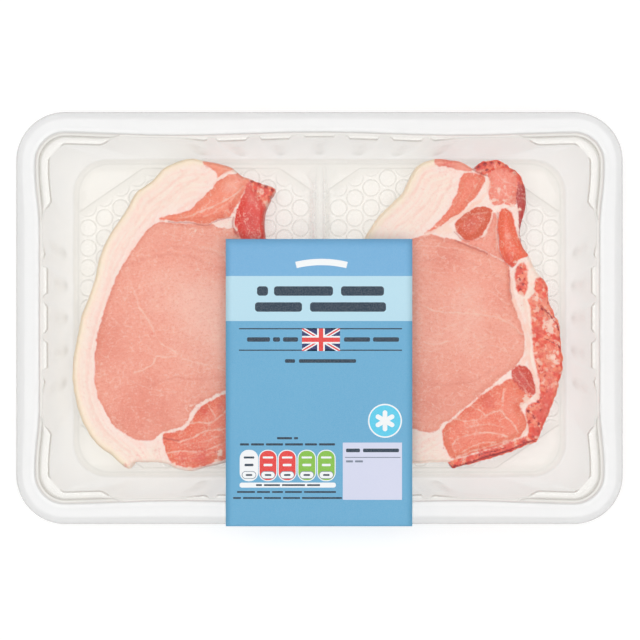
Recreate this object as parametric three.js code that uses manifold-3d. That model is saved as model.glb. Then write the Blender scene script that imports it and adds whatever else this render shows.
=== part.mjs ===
// A sealed clear tray of raw pork chops, in millimetres, Z up, standing on its base.
// The tray is a thin clear shell with a flat flange, a clear film is sealed on the flange, and
// two thick chops lie inside, one each side of the divider. A paper wrap label runs over the
// lid, folds over the front edge and comes back under the base.
// Each chop is cut through its bone: fat, muscles and bone run through its full thickness.

import * as THREE from 'three';
import * as BufferGeometryUtils from 'three/addons/utils/BufferGeometryUtils.js';
import Module from 'manifold-3d';

const wasm = await Module();
wasm.setup();

// Tray sizes
const FLANGE = { halfLength: 132.5, halfWidth: 90, cornerRadius: 21.4, thickness: 0.6 };
const RIM_HEIGHT = 42;
const WALL = 0.6;
const OPENING = { halfLength: 122.2, halfWidth: 80.4, cornerRadius: 13 };
const CORNER_SPREAD = 1.9;
const SIDE_WAVE = { size: 0.7, length: 122 };
const LEDGE_HEIGHT = 38;
const FLOOR = { halfLength: 111, halfWidth: 71.7, cornerRadius: 16 };
const FLOOR_HEIGHT = 1.25;
const BASE_RECESS = 0.65;
const FOOT = { outerInset: 2.5, innerInset: 7, panelInset: 8.5 };
const CAVITY_CORNER = { startHeight: 6.5, midInset: 1.5, midHeight: 2.7, endInset: 5 };
const WAIST = { height: 26.4, share: 0.35 };
const LOW_WALL_SHARE = 0.9;

// Ledge bosses round the inside of the rim, of one quarter of the tray, seen from above.
// A boss runs from one place along its side to another, and its depth goes into the tray.
const LONG_BOSSES = [
  { centre: 0, outerHalf: 8.1, innerHalf: 6.2, depth: 1.7 },
  { centre: 19.2, outerHalf: 8.1, innerHalf: 6.2, depth: 2.5 },
  { centre: 38.4, outerHalf: 8.1, innerHalf: 6.2, depth: 2.5 },
];
const SHORT_BOSSES = [
  { centre: 0, outerHalf: 7.2, innerHalf: 5.7, depth: 3 },
  { centre: 16.2, outerHalf: 7.2, innerHalf: 5.7, depth: 3 },
];
const LONG_WEDGE = { start: 48.5, full: 49.7, end: 70, depth: 2.2 };
const SHORT_WEDGE = { start: 26, full: 27, end: 37.5, depth: 2.1 };
const LONG_LOBE = { start: 90.5, full: 96, depth: 4.8 };
const SHORT_LOBE = { start: 46.5, full: 51, depth: 5.5 };
const LOBE_GAP_DEPTH = 1.6;
const CORNER_STEPS = 6;

// Divider of two ridges across the floor, and the raised field of each half of the floor
const RIDGE = { spacing: 4.8, topHalf: 1.1, footHalf: 2.2, height: 3.4, halfLength: 69, wall: 0.6 };
const FIELD = { inner: 8, outer: 105.5, halfWidth: 67, chamferX: 22, chamferY: 17, height: 0.85 };

// Film and label sizes
const FILM = { gap: 0.3, thickness: 0.3, setBack: 0.2 };
const LABEL = {
  width: 81, rearEdge: 34.5, frontEdge: -91, thickness: 0.3, gap: 0.3,
  foldHeight: 41, baseFront: -73.8, baseRear: -22, liftHalfWidth: 43,
};

// Chops: both lie flat, with the fat side to the left and the bone side to the right
const CHOP = { bottom: 2.4, top: 27, edgeRounding: 3, seam: 0.3 };

const LEFT_CHOP = {
  outline: [
    [-57, 71.5], [-66, 68], [-76, 60], [-86.5, 48], [-94, 36], [-100, 18], [-105, 3], [-109, -14],
    [-110, -28], [-107, -42], [-98, -58], [-87, -66.5], [-79, -64.5], [-67, -64.5], [-57, -67.2],
    [-38, -63.5], [-20, -55], [-12, -40], [-8, -24], [-7.6, -10], [-11, 4], [-18, 20], [-24, 37],
    [-23.5, 47], [-20.5, 56], [-30, 62], [-40, 67],
  ],
  muscles: {
    loin: [
      [-66, 42], [-76, 39.5], [-85, 28], [-94, 6], [-99.5, -16], [-99, -34], [-92, -47],
      [-80, -52.5], [-71, -53], [-60, -47], [-53.5, -37.5], [-40, -31], [-28, -22], [-23.5, -8],
      [-27, 10], [-37, 27], [-50, 37],
    ],
    cap: [
      [-69.8, 45.8], [-57, 48.2], [-50, 54], [-43, 60.5], [-36, 63], [-33, 59], [-37, 50.5],
      [-46, 44.5], [-60, 43], [-69.8, 44.2],
    ],
    side: [
      [-32, 57], [-28, 53], [-20, 46], [-20, 36], [-27, 29.5], [-33, 31], [-36, 37], [-36, 44],
      [-34.5, 51],
    ],
    tail: [
      [-69, -53], [-67, -62], [-62, -70], [-42, -69], [-28, -59], [-22, -47], [-18.5, -35],
      [-22, -27], [-31, -29], [-44, -36], [-56, -46.5], [-63, -51.5],
    ],
  },
  bones: {
    tip: [[-30, 60], [-26, 56], [-23, 52], [-16, 51], [-16, 60], [-28, 66]],
    rib: [
      [-25, 25], [-21.5, 5], [-20, -10], [-19.5, -20], [-15.5, -29], [-16, -38], [-20, -48],
      [-25.5, -58.5], [-14, -62], [-2, -42], [0, -12], [-5, 8], [-14, 26],
    ],
  },
};

const RIGHT_CHOP = {
  outline: [
    [45, 71], [55, 70.3], [62, 70], [67, 68], [73, 69.5], [81, 69.5], [88.5, 65], [91.5, 57],
    [90.5, 47], [88.5, 37.5], [92.5, 28.5], [98, 18], [102, 7], [106, -4], [107.5, -20],
    [105.5, -33], [100, -47], [95, -55], [83, -58.5], [70, -63.5], [59, -66.5], [50, -64.8],
    [32, -63], [19, -54.5], [11.5, -41.5], [7.6, -26], [7.6, -9], [11.5, 10], [17.5, 28],
    [25, 43], [35.5, 53], [40, 63],
  ],
  muscles: {
    loin: [
      [47, 35.8], [58, 35.2], [70, 31], [79, 25], [84, 14], [89.5, -2], [91, -11], [88, -19],
      [79, -26.5], [66, -37], [50, -49.3], [37, -47.8], [25, -42.5], [18, -30], [16.5, -13],
      [20, 7], [28, 26], [36, 33.8],
    ],
    cap: [
      [62, 62.5], [68, 63.5], [72.5, 60], [71, 54.5], [64, 48], [52, 40.5], [50.5, 42], [58, 50],
    ],
    oval: [[60.5, 40], [64.5, 45.5], [71, 48.8], [75, 48.5], [74.5, 42], [70, 36.8], [64, 35.8]],
    strip: [
      [78.3, 46.5], [84, 45.8], [94, 41.5], [94, 33], [88.5, 26.8], [84.5, 24.2], [80.5, 26.5],
      [77.5, 33], [77, 40],
    ],
    tail: [
      [56.5, -47.5], [62, -43.3], [71, -36.2], [78, -31], [85, -28], [87, -23.5], [91, -21.5],
      [94.5, -25], [95.7, -34], [93, -44], [88.6, -53], [90, -64], [70, -70], [57.5, -72],
      [57, -58],
    ],
  },
  bones: {
    tip: [
      [71.8, 68], [75.5, 61], [77.5, 52.5], [83, 49], [89, 46], [97, 46], [97, 70], [80, 76],
      [70, 75],
    ],
    knuckle: [[90.2, 24.8], [93.6, 21.5], [94.2, 16], [92.6, 11], [90, 9.2], [87, 12], [86.2, 18]],
    rib: [
      [97, 22], [96.8, 8], [94, -3], [95.3, -14], [97.5, -25], [98.3, -34], [96.3, -44],
      [92, -54], [95, -66], [112, -50], [118, -10], [108, 16], [101, 28],
    ],
  },
};

const REACH = 200;

// Turns a three.js geometry into a solid that can be joined and cut
function solid(geometry) {
  const bare = geometry.index ? geometry.toNonIndexed() : geometry.clone();
  bare.deleteAttribute('normal');
  bare.deleteAttribute('uv');
  const merged = BufferGeometryUtils.mergeVertices(bare, 1e-4);
  const mesh = new wasm.Mesh({
    numProp: 3,
    vertProperties: Float32Array.from(merged.attributes.position.array),
    triVerts: Uint32Array.from(merged.index.array),
  });
  return new wasm.Manifold(mesh);
}

function geometryOf(body) {
  const mesh = body.getMesh();
  const geometry = new THREE.BufferGeometry();
  geometry.setAttribute('position', new THREE.BufferAttribute(mesh.vertProperties, 3));
  geometry.setIndex(new THREE.BufferAttribute(mesh.triVerts, 1));
  geometry.computeVertexNormals();
  return geometry;
}

// A closed body through rings of equal point counts, listed from the top down
function loft(rings) {
  const count = rings[0].length;
  const positions = rings.flat().flatMap((point) => [point.x, point.y, point.z]);
  const index = [];
  for (let level = 0; level + 1 < rings.length; level += 1) {
    for (let i = 0; i < count; i += 1) {
      const next = (i + 1) % count;
      const a = level * count + i;
      const b = level * count + next;
      index.push(a, b + count, b, a, a + count, b + count);
    }
  }
  const last = (rings.length - 1) * count;
  const topCentre = positions.length / 3;
  const bottomCentre = topCentre + 1;
  positions.push(0, 0, rings[0][0].z, 0, 0, rings[rings.length - 1][0].z);
  for (let i = 0; i < count; i += 1) {
    const next = (i + 1) % count;
    index.push(topCentre, i, next, bottomCentre, last + next, last + i);
  }
  const geometry = new THREE.BufferGeometry();
  geometry.setAttribute('position', new THREE.Float32BufferAttribute(positions, 3));
  geometry.setIndex(index);
  return solid(geometry);
}

function prism(points, bottom, top) {
  const shape = new THREE.Shape(points);
  const geometry = new THREE.ExtrudeGeometry(shape, { depth: top - bottom, bevelEnabled: false });
  geometry.translate(0, 0, bottom);
  return solid(geometry);
}

// Where samples lie along a side, with the depth of the ledge at each
function bossSamples(bosses) {
  return bosses.flatMap(({ centre, outerHalf, innerHalf, depth }) => [
    [centre - outerHalf, 0], [centre - innerHalf, depth],
    [centre + innerHalf, depth], [centre + outerHalf, 0],
  ]);
}

function sideSamples(bosses, wedge, lobe, end) {
  const middle = [[0, bosses[0].depth]];
  const wedgeSamples = [
    [wedge.start, 0], [wedge.full, wedge.depth], [wedge.end, 0], [(wedge.end + lobe.start) / 2, 0],
  ];
  const lobeSamples = [[lobe.start, 0], [lobe.start + 1.6, lobe.depth * 0.7], [lobe.full, lobe.depth]];
  const rest = [[(lobe.full + end) / 2, lobe.depth], [end, lobe.depth * 0.9]];
  return [...middle, ...bossSamples(bosses), ...wedgeSamples, ...lobeSamples, ...rest]
    .filter(([place]) => place >= 0);
}

const smooth = (t) => THREE.MathUtils.smoothstep(t, 0, 1);
const longSideWidth = (x) => OPENING.halfWidth
  + SIDE_WAVE.size * Math.cos((2 * Math.PI * x) / SIDE_WAVE.length);
const shortSideLength = (y) => OPENING.halfLength
  + CORNER_SPREAD * smooth((y - 39) / 26);

// One quarter of the samples, from the middle of the long side to the middle of the short side.
// Each holds its place on the rim's opening, on the flange edge and on the floor's outline.
function quarterSamples() {
  const cornerX = OPENING.halfLength + CORNER_SPREAD - OPENING.cornerRadius;
  const cornerY = longSideWidth(cornerX) - OPENING.cornerRadius;
  const floorX = FLOOR.halfLength - FLOOR.cornerRadius;
  const floorY = FLOOR.halfWidth - FLOOR.cornerRadius;
  const samples = sideSamples(LONG_BOSSES, LONG_WEDGE, LONG_LOBE, cornerX).map(([x, depth]) => ({
    normal: new THREE.Vector2(0, 1),
    opening: new THREE.Vector2(x, longSideWidth(x)),
    flange: new THREE.Vector2(x, FLANGE.halfWidth),
    floor: new THREE.Vector2((x * floorX) / cornerX, FLOOR.halfWidth),
    depth,
  }));
  for (let step = 1; step < CORNER_STEPS; step += 1) {
    const angle = (Math.PI / 2) * (1 - step / CORNER_STEPS);
    const normal = new THREE.Vector2(Math.cos(angle), Math.sin(angle));
    const atEnd = step === 1 || step === CORNER_STEPS - 1;
    samples.push({
      normal,
      opening: new THREE.Vector2(cornerX, cornerY).addScaledVector(normal, OPENING.cornerRadius),
      flange: new THREE.Vector2(
        FLANGE.halfLength - FLANGE.cornerRadius,
        FLANGE.halfWidth - FLANGE.cornerRadius,
      ).addScaledVector(normal, FLANGE.cornerRadius),
      floor: new THREE.Vector2(floorX, floorY).addScaledVector(normal, FLOOR.cornerRadius),
      depth: atEnd ? LOBE_GAP_DEPTH * 1.5 : LOBE_GAP_DEPTH,
    });
  }
  const short = sideSamples(SHORT_BOSSES, SHORT_WEDGE, SHORT_LOBE, cornerY).reverse();
  samples.push(...short.map(([y, depth]) => ({
    normal: new THREE.Vector2(1, 0),
    opening: new THREE.Vector2(shortSideLength(y), y),
    flange: new THREE.Vector2(FLANGE.halfLength, y),
    floor: new THREE.Vector2(FLOOR.halfLength, (y * floorY) / cornerY),
    depth,
  })));
  return samples;
}

function mirrored(sample, sideX, sideY) {
  const flip = new THREE.Vector2(sideX, sideY);
  const turned = (point) => point.clone().multiply(flip);
  return {
    normal: turned(sample.normal), opening: turned(sample.opening),
    flange: turned(sample.flange), floor: turned(sample.floor), depth: sample.depth,
  };
}

// The whole way round, counterclockwise seen from above, with no place twice
function ringSamples() {
  const quarter = quarterSamples();
  const back = [...quarter].reverse();
  const all = [
    ...back.map((sample) => mirrored(sample, 1, 1)),
    ...quarter.map((sample) => mirrored(sample, -1, 1)),
    ...back.map((sample) => mirrored(sample, -1, -1)),
    ...quarter.map((sample) => mirrored(sample, 1, -1)),
  ];
  return all.filter((sample, i) => {
    const before = all[(i + all.length - 1) % all.length];
    return sample.opening.distanceTo(before.opening) > 1e-3;
  });
}

const SAMPLES = ringSamples();

const ring = (place, height) => SAMPLES.map((sample) => {
  const point = place(sample);
  const z = typeof height === 'function' ? height(point) : height;
  return new THREE.Vector3(point.x, point.y, z);
});
const openingAt = (grow) => (s) => s.opening.clone().addScaledVector(s.normal, grow);
const ledgeAt = (grow) => (s) => s.opening.clone().addScaledVector(s.normal, grow - s.depth);
const floorAt = (grow) => (s) => s.floor.clone().addScaledVector(s.normal, grow);
const wallAt = (share, grow) => (s) => ledgeAt(grow)(s).lerp(floorAt(grow)(s), share);
const flangeAt = (s) => s.flange.clone();

// The foot stands on the table, but is raised where the label passes under it
const footHeight = (point) => {
  const underLabel = point.y < 0 && Math.abs(point.x) < LABEL.liftHalfWidth;
  return underLabel ? BASE_RECESS : 0;
};

function trayOutside() {
  return loft([
    ring(flangeAt, RIM_HEIGHT),
    ring(flangeAt, RIM_HEIGHT - FLANGE.thickness),
    ring(openingAt(WALL), RIM_HEIGHT - FLANGE.thickness),
    ring(openingAt(WALL), LEDGE_HEIGHT - WALL),
    ring(ledgeAt(WALL), LEDGE_HEIGHT - WALL - 0.01),
    ring(wallAt(WAIST.share, WALL), WAIST.height),
    ring(wallAt(LOW_WALL_SHARE, WALL), CAVITY_CORNER.startHeight - WALL),
    ring(floorAt(-FOOT.outerInset), footHeight),
    ring(floorAt(-FOOT.innerInset), footHeight),
    ring(floorAt(-FOOT.panelInset), BASE_RECESS + 0.001),
  ]);
}

function trayCavity() {
  return loft([
    ring(openingAt(0), RIM_HEIGHT + 1),
    ring(openingAt(0), LEDGE_HEIGHT),
    ring(ledgeAt(0), LEDGE_HEIGHT - 0.01),
    ring(wallAt(WAIST.share, 0), WAIST.height),
    ring(wallAt(LOW_WALL_SHARE, 0), CAVITY_CORNER.startHeight),
    ring(floorAt(-CAVITY_CORNER.midInset), CAVITY_CORNER.midHeight),
    ring(floorAt(-CAVITY_CORNER.endInset), FLOOR_HEIGHT),
  ]);
}

// A ridge lies along Y, its section a flat-topped hump. Thinned, it is the hollow beneath.
function ridge(centre, thin) {
  const foot = RIDGE.footHalf - thin;
  const crown = RIDGE.topHalf - thin * 0.6;
  const low = thin > 0 ? -1 : FLOOR_HEIGHT - 0.2;
  const high = FLOOR_HEIGHT + RIDGE.height - thin;
  const section = [[-foot, low], [foot, low], [foot, FLOOR_HEIGHT], [crown, high], [-crown, high],
    [-foot, FLOOR_HEIGHT]];
  const shape = new THREE.Shape(section.map(([x, y]) => new THREE.Vector2(x, y)));
  const half = thin > 0 ? FLOOR.halfWidth - FOOT.panelInset - 1 : RIDGE.halfLength;
  const geometry = new THREE.ExtrudeGeometry(shape, { depth: 2 * half, bevelEnabled: false });
  geometry.rotateX(Math.PI / 2);
  geometry.translate(centre, half, 0);
  return solid(geometry);
}

// Raised field that the meat lies on, an oblong with cut corners on its outer side
function floorField(side) {
  const { inner, outer, halfWidth, chamferX, chamferY } = FIELD;
  const corners = [
    [inner, -halfWidth + chamferY], [inner + chamferX, -halfWidth], [outer - chamferX, -halfWidth],
    [outer, -halfWidth + chamferY], [outer, halfWidth - chamferY], [outer - chamferX, halfWidth],
    [inner + chamferX, halfWidth], [inner, halfWidth - chamferY],
  ];
  const points = corners.map(([x, y]) => new THREE.Vector2(side * x, y));
  return prism(points, FLOOR_HEIGHT - 0.3, FLOOR_HEIGHT + FIELD.height);
}

function trayBody() {
  let cavity = trayCavity();
  let outside = trayOutside();
  [-RIDGE.spacing / 2, RIDGE.spacing / 2].forEach((centre) => {
    cavity = cavity.subtract(ridge(centre, 0));
    outside = outside.subtract(ridge(centre, RIDGE.wall));
  });
  [-1, 1].forEach((side) => {
    cavity = cavity.subtract(floorField(side));
  });
  return geometryOf(outside.subtract(cavity));
}

function roundedOblong(halfLength, halfWidth, radius) {
  const shape = new THREE.Shape();
  const x = halfLength - radius;
  const y = halfWidth - radius;
  shape.absarc(x, y, radius, 0, Math.PI / 2);
  shape.absarc(-x, y, radius, Math.PI / 2, Math.PI);
  shape.absarc(-x, -y, radius, Math.PI, 1.5 * Math.PI);
  shape.absarc(x, -y, radius, 1.5 * Math.PI, 2 * Math.PI);
  return shape;
}

function filmBody() {
  const shape = roundedOblong(
    FLANGE.halfLength - FILM.setBack,
    FLANGE.halfWidth - FILM.setBack,
    FLANGE.cornerRadius - FILM.setBack,
  );
  const geometry = new THREE.ExtrudeGeometry(shape, {
    depth: FILM.thickness, bevelEnabled: false, curveSegments: 8,
  });
  geometry.translate(0, 0, RIM_HEIGHT + FILM.gap);
  return geometry;
}

// The label's section, seen along X, is one strip bent over the rim and under the base
function labelBody() {
  const { thickness, rearEdge, frontEdge, foldHeight, baseFront, baseRear, width } = LABEL;
  const under = RIM_HEIGHT + FILM.gap + FILM.thickness + LABEL.gap;
  const over = under + thickness;
  const outer = [
    [rearEdge, over], [frontEdge + thickness, over], [frontEdge, under],
    [frontEdge, foldHeight], [baseFront, 0], [baseRear, 0],
  ];
  const inner = [
    [baseRear, thickness], [baseFront + thickness * 0.7, thickness],
    [frontEdge + thickness, foldHeight + 0.1], [frontEdge + thickness, under], [rearEdge, under],
  ];
  const shape = new THREE.Shape([...outer, ...inner].map(([y, z]) => new THREE.Vector2(y, z)));
  const geometry = new THREE.ExtrudeGeometry(shape, { depth: width, bevelEnabled: false });
  const toWorld = new THREE.Matrix4().makeBasis(
    new THREE.Vector3(0, 1, 0),
    new THREE.Vector3(0, 0, 1),
    new THREE.Vector3(1, 0, 0),
  );
  geometry.applyMatrix4(toWorld);
  geometry.translate(-width / 2, 0, 0);
  return geometry;
}

// A smooth closed outline through the given points, with some points between each two
function smoothOutline(points, between) {
  const curve = new THREE.CatmullRomCurve3(
    points.map(([x, y]) => new THREE.Vector3(x, y, 0)),
    true,
    'centripetal',
  );
  const outline = curve.getPoints(points.length * between).slice(0, -1);
  return outline.map((point) => new THREE.Vector2(point.x, point.y));
}

function grown(outline, distance) {
  const turn = THREE.ShapeUtils.isClockWise(outline) ? -1 : 1;
  return outline.map((point, i) => {
    const before = outline[(i + outline.length - 1) % outline.length];
    const after = outline[(i + 1) % outline.length];
    const along = after.clone().sub(before).normalize();
    return point.clone().add(new THREE.Vector2(along.y, -along.x).multiplyScalar(turn * distance));
  });
}

// The whole chop before it is parted, with rounded edges above and below
function wholeChop(points) {
  const { bottom, top, edgeRounding } = CHOP;
  const geometry = new THREE.ExtrudeGeometry(new THREE.Shape(smoothOutline(points, 2)), {
    depth: top - bottom - 2 * edgeRounding,
    bevelEnabled: true,
    bevelThickness: edgeRounding,
    bevelSize: edgeRounding,
    bevelOffset: -edgeRounding,
    bevelSegments: 2,
  });
  geometry.translate(0, 0, bottom + edgeRounding);
  return solid(geometry);
}

// Parts a chop into its fat and the muscles and bones that run through it
function partChop(chop) {
  const whole = wholeChop(chop.outline);
  let fat = whole;
  const pieces = {};
  Object.entries({ ...chop.muscles, ...chop.bones }).forEach(([name, points]) => {
    const outline = smoothOutline(points, 2);
    const column = (by) => prism(grown(outline, by), -REACH, REACH);
    pieces[name] = geometryOf(whole.intersect(column(0)));
    fat = fat.subtract(column(CHOP.seam));
  });
  return { fat: geometryOf(fat), ...pieces };
}

const matt = (color, roughness) => new THREE.MeshStandardMaterial({
  color, roughness, metalness: 0, side: THREE.FrontSide,
});
const clear = (color, opacity) => new THREE.MeshStandardMaterial({
  color, roughness: 0.08, metalness: 0, transparent: true, opacity,
});

const COLOURS = {
  fat: '#f6ddca', loin: '#ea9c8c', cap: '#ea8f78', side: '#d8604f', oval: '#e68470',
  strip: '#dc6f5c', tail: '#d8705c', tip: '#c8503f', knuckle: '#f0c8b4', rib: '#d9604c',
};

function addChop(group, side, chop) {
  Object.entries(partChop(chop)).forEach(([name, geometry]) => {
    const mesh = new THREE.Mesh(geometry, matt(COLOURS[name], 0.35));
    mesh.name = `chop_${side}_${name}`;
    group.add(mesh);
  });
}

function addMesh(group, name, geometry, material) {
  const mesh = new THREE.Mesh(geometry, material);
  mesh.name = name;
  group.add(mesh);
}

const group = new THREE.Group();
group.position.y = (-LABEL.frontEdge - FLANGE.halfWidth) / 2;
addMesh(group, 'tray', trayBody(), clear('#eceeef', 0.35));
addMesh(group, 'lid_film', filmBody(), clear('#f4f7f8', 0.15));
addMesh(group, 'label', labelBody(), matt('#79b3da', 0.55));
addChop(group, 'left', LEFT_CHOP);
addChop(group, 'right', RIGHT_CHOP);

export default group;
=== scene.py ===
"""Dresses a sealed tray of raw pork chops: clear tray, lid film, wrap label, and two cut chops.

The helpers work in millimetres in the frame's own axes, and meshes are made in metres.
Outlines of the meat and of the print are placed by points read off the photograph. Each is turned
into a place at the height of the surface that it lies on, as the photograph's camera saw it.
"""

import math

import bpy
import numpy as np
from bpy.props import EnumProperty, FloatProperty, FloatVectorProperty, PointerProperty
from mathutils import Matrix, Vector, noise
from mathutils.geometry import delaunay_2d_cdt


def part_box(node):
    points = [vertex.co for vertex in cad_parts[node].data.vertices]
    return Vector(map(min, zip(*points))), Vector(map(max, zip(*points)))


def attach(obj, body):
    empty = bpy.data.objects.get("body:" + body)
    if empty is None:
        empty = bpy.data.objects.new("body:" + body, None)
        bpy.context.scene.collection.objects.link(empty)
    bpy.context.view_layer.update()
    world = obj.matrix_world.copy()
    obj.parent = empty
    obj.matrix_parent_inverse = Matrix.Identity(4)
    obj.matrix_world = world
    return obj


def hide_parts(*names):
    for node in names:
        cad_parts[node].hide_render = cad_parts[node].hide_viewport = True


bl_info = {
    "name": "Chop Tray Pack",
    "version": (1, 0, 0),
    "blender": (4, 5, 0),
    "location": "View3D > Sidebar > Chop Pack",
    "description": "Makes a sealed clear tray of raw pork chops with a wrap label",
    "category": "Object",
}

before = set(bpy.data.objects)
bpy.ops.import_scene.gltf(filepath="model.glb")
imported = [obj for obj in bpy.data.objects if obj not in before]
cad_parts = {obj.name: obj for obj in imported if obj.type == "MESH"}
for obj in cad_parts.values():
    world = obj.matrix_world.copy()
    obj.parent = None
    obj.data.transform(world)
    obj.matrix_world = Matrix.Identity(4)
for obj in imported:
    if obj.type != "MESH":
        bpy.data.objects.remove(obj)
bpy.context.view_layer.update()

MM = 0.001


def cad_box(node):
    """Lowest and highest corner of a CAD node, in millimetres."""
    low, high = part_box(node)
    return np.array(low) / MM, np.array(high) / MM


TRAY_LOW, TRAY_HIGH = cad_box("tray")
LABEL_LOW, LABEL_HIGH = cad_box("label")
CHOP_LOW, CHOP_HIGH = cad_box("chop_left_fat")
TRAY_MIDDLE_Y = (TRAY_LOW[1] + TRAY_HIGH[1]) / 2
RIM_Z = TRAY_HIGH[2]
HALF_LENGTH = (TRAY_HIGH[0] - TRAY_LOW[0]) / 2
HALF_WIDTH = (TRAY_HIGH[1] - TRAY_LOW[1]) / 2

# How the photograph looks down on the pack
CAMERA_ABOVE_RIM = 1100.0
PHOTO_TRAY_CENTRE = (319.5, 318.0)
PHOTO_FRAME_PIXELS = 640
PHOTO_TRAY_PIXELS = 607
PIXEL_AT_RIM = 2 * HALF_LENGTH / PHOTO_TRAY_PIXELS

# Tray form, in millimetres
FLANGE_CORNER = 21.4
OPENING_HALF_LENGTH = 122.2
OPENING_HALF_WIDTH = 80.4
OPENING_CORNER = 13.0
CORNER_SPREAD = 1.9
SIDE_WAVE = 0.7
SIDE_WAVE_LENGTH = 122.0
LEDGE_Z = 38.0
STEP_Z = 40.4
STEP_WIDTH = 1.25
FLOOR_HALF_LENGTH = 111.0
FLOOR_HALF_WIDTH = 71.7
FLOOR_CORNER = 16.0
FLOOR_Z = 1.15
FOOT_Z = 0.47
FOOT_OUTER = 0.9
FOOT_INNER = 1.9
FOOT_PANEL = 2.3
LONG_BOSSES = ((0.0, 8.1, 6.2, 1.7), (19.2, 8.1, 6.2, 2.5), (38.4, 8.1, 6.2, 2.5))
SHORT_BOSSES = ((0.0, 7.2, 5.7, 3.0), (16.2, 7.2, 5.7, 3.0))
LONG_WEDGE = (48.5, 49.7, 70.0, 2.2)
SHORT_WEDGE = (26.0, 27.0, 37.5, 2.1)
LONG_LOBE = (90.5, 96.0, 4.8)
SHORT_LOBE = (46.5, 51.0, 5.5)
CORNER_PAD = 1.2
# Painted shade and painted reflection of the meat on the tray's inner walls
WALL_SHADE = 0.055
WALL_TOP_Z = LEDGE_Z - 4.0
WALL_LOW_Z = 5.6
AROUND_STEP = 1.2
LONG_FLUTES = (0.0, 19.2, 38.4, 57.6)
SHORT_FLUTES = (0.0, 16.2, 32.6)
RIDGE_CENTRE = 2.4

# Dimpled floor, in millimetres
DIMPLE_COLUMNS = 14
DIMPLE_FIRST_X = 8.6
DIMPLE_PITCH_X = 7.4
DIMPLE_PITCH_Y = 9.06
DIMPLE_TURN_COLUMN = 7
DIMPLE_RADIUS = 3.75
DIMPLE_MIDDLE_X = DIMPLE_FIRST_X + (DIMPLE_TURN_COLUMN - 0.5) * DIMPLE_PITCH_X
DIMPLE_ROWS = range(-8, 8)
DIMPLE_CLEARANCE = 3.3
DIMPLE_RING_POINTS = 12
DIMPLE_RING_RADII = (DIMPLE_RADIUS + 0.45, DIMPLE_RADIUS - 0.2, 2.9, 1.9)
FIELD_CORNERS = (
    (4.6, 57.9), (18.4, 67.4), (79.7, 67.4), (109.0, 47.2),
    (109.0, -47.2), (79.7, -67.4), (18.4, -67.4), (4.6, -57.9),
)

# Lid film, in millimetres
FILM_SET_BACK = 0.25
FILM_RISE = 0.12
FILM_SAG = 0.35

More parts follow.
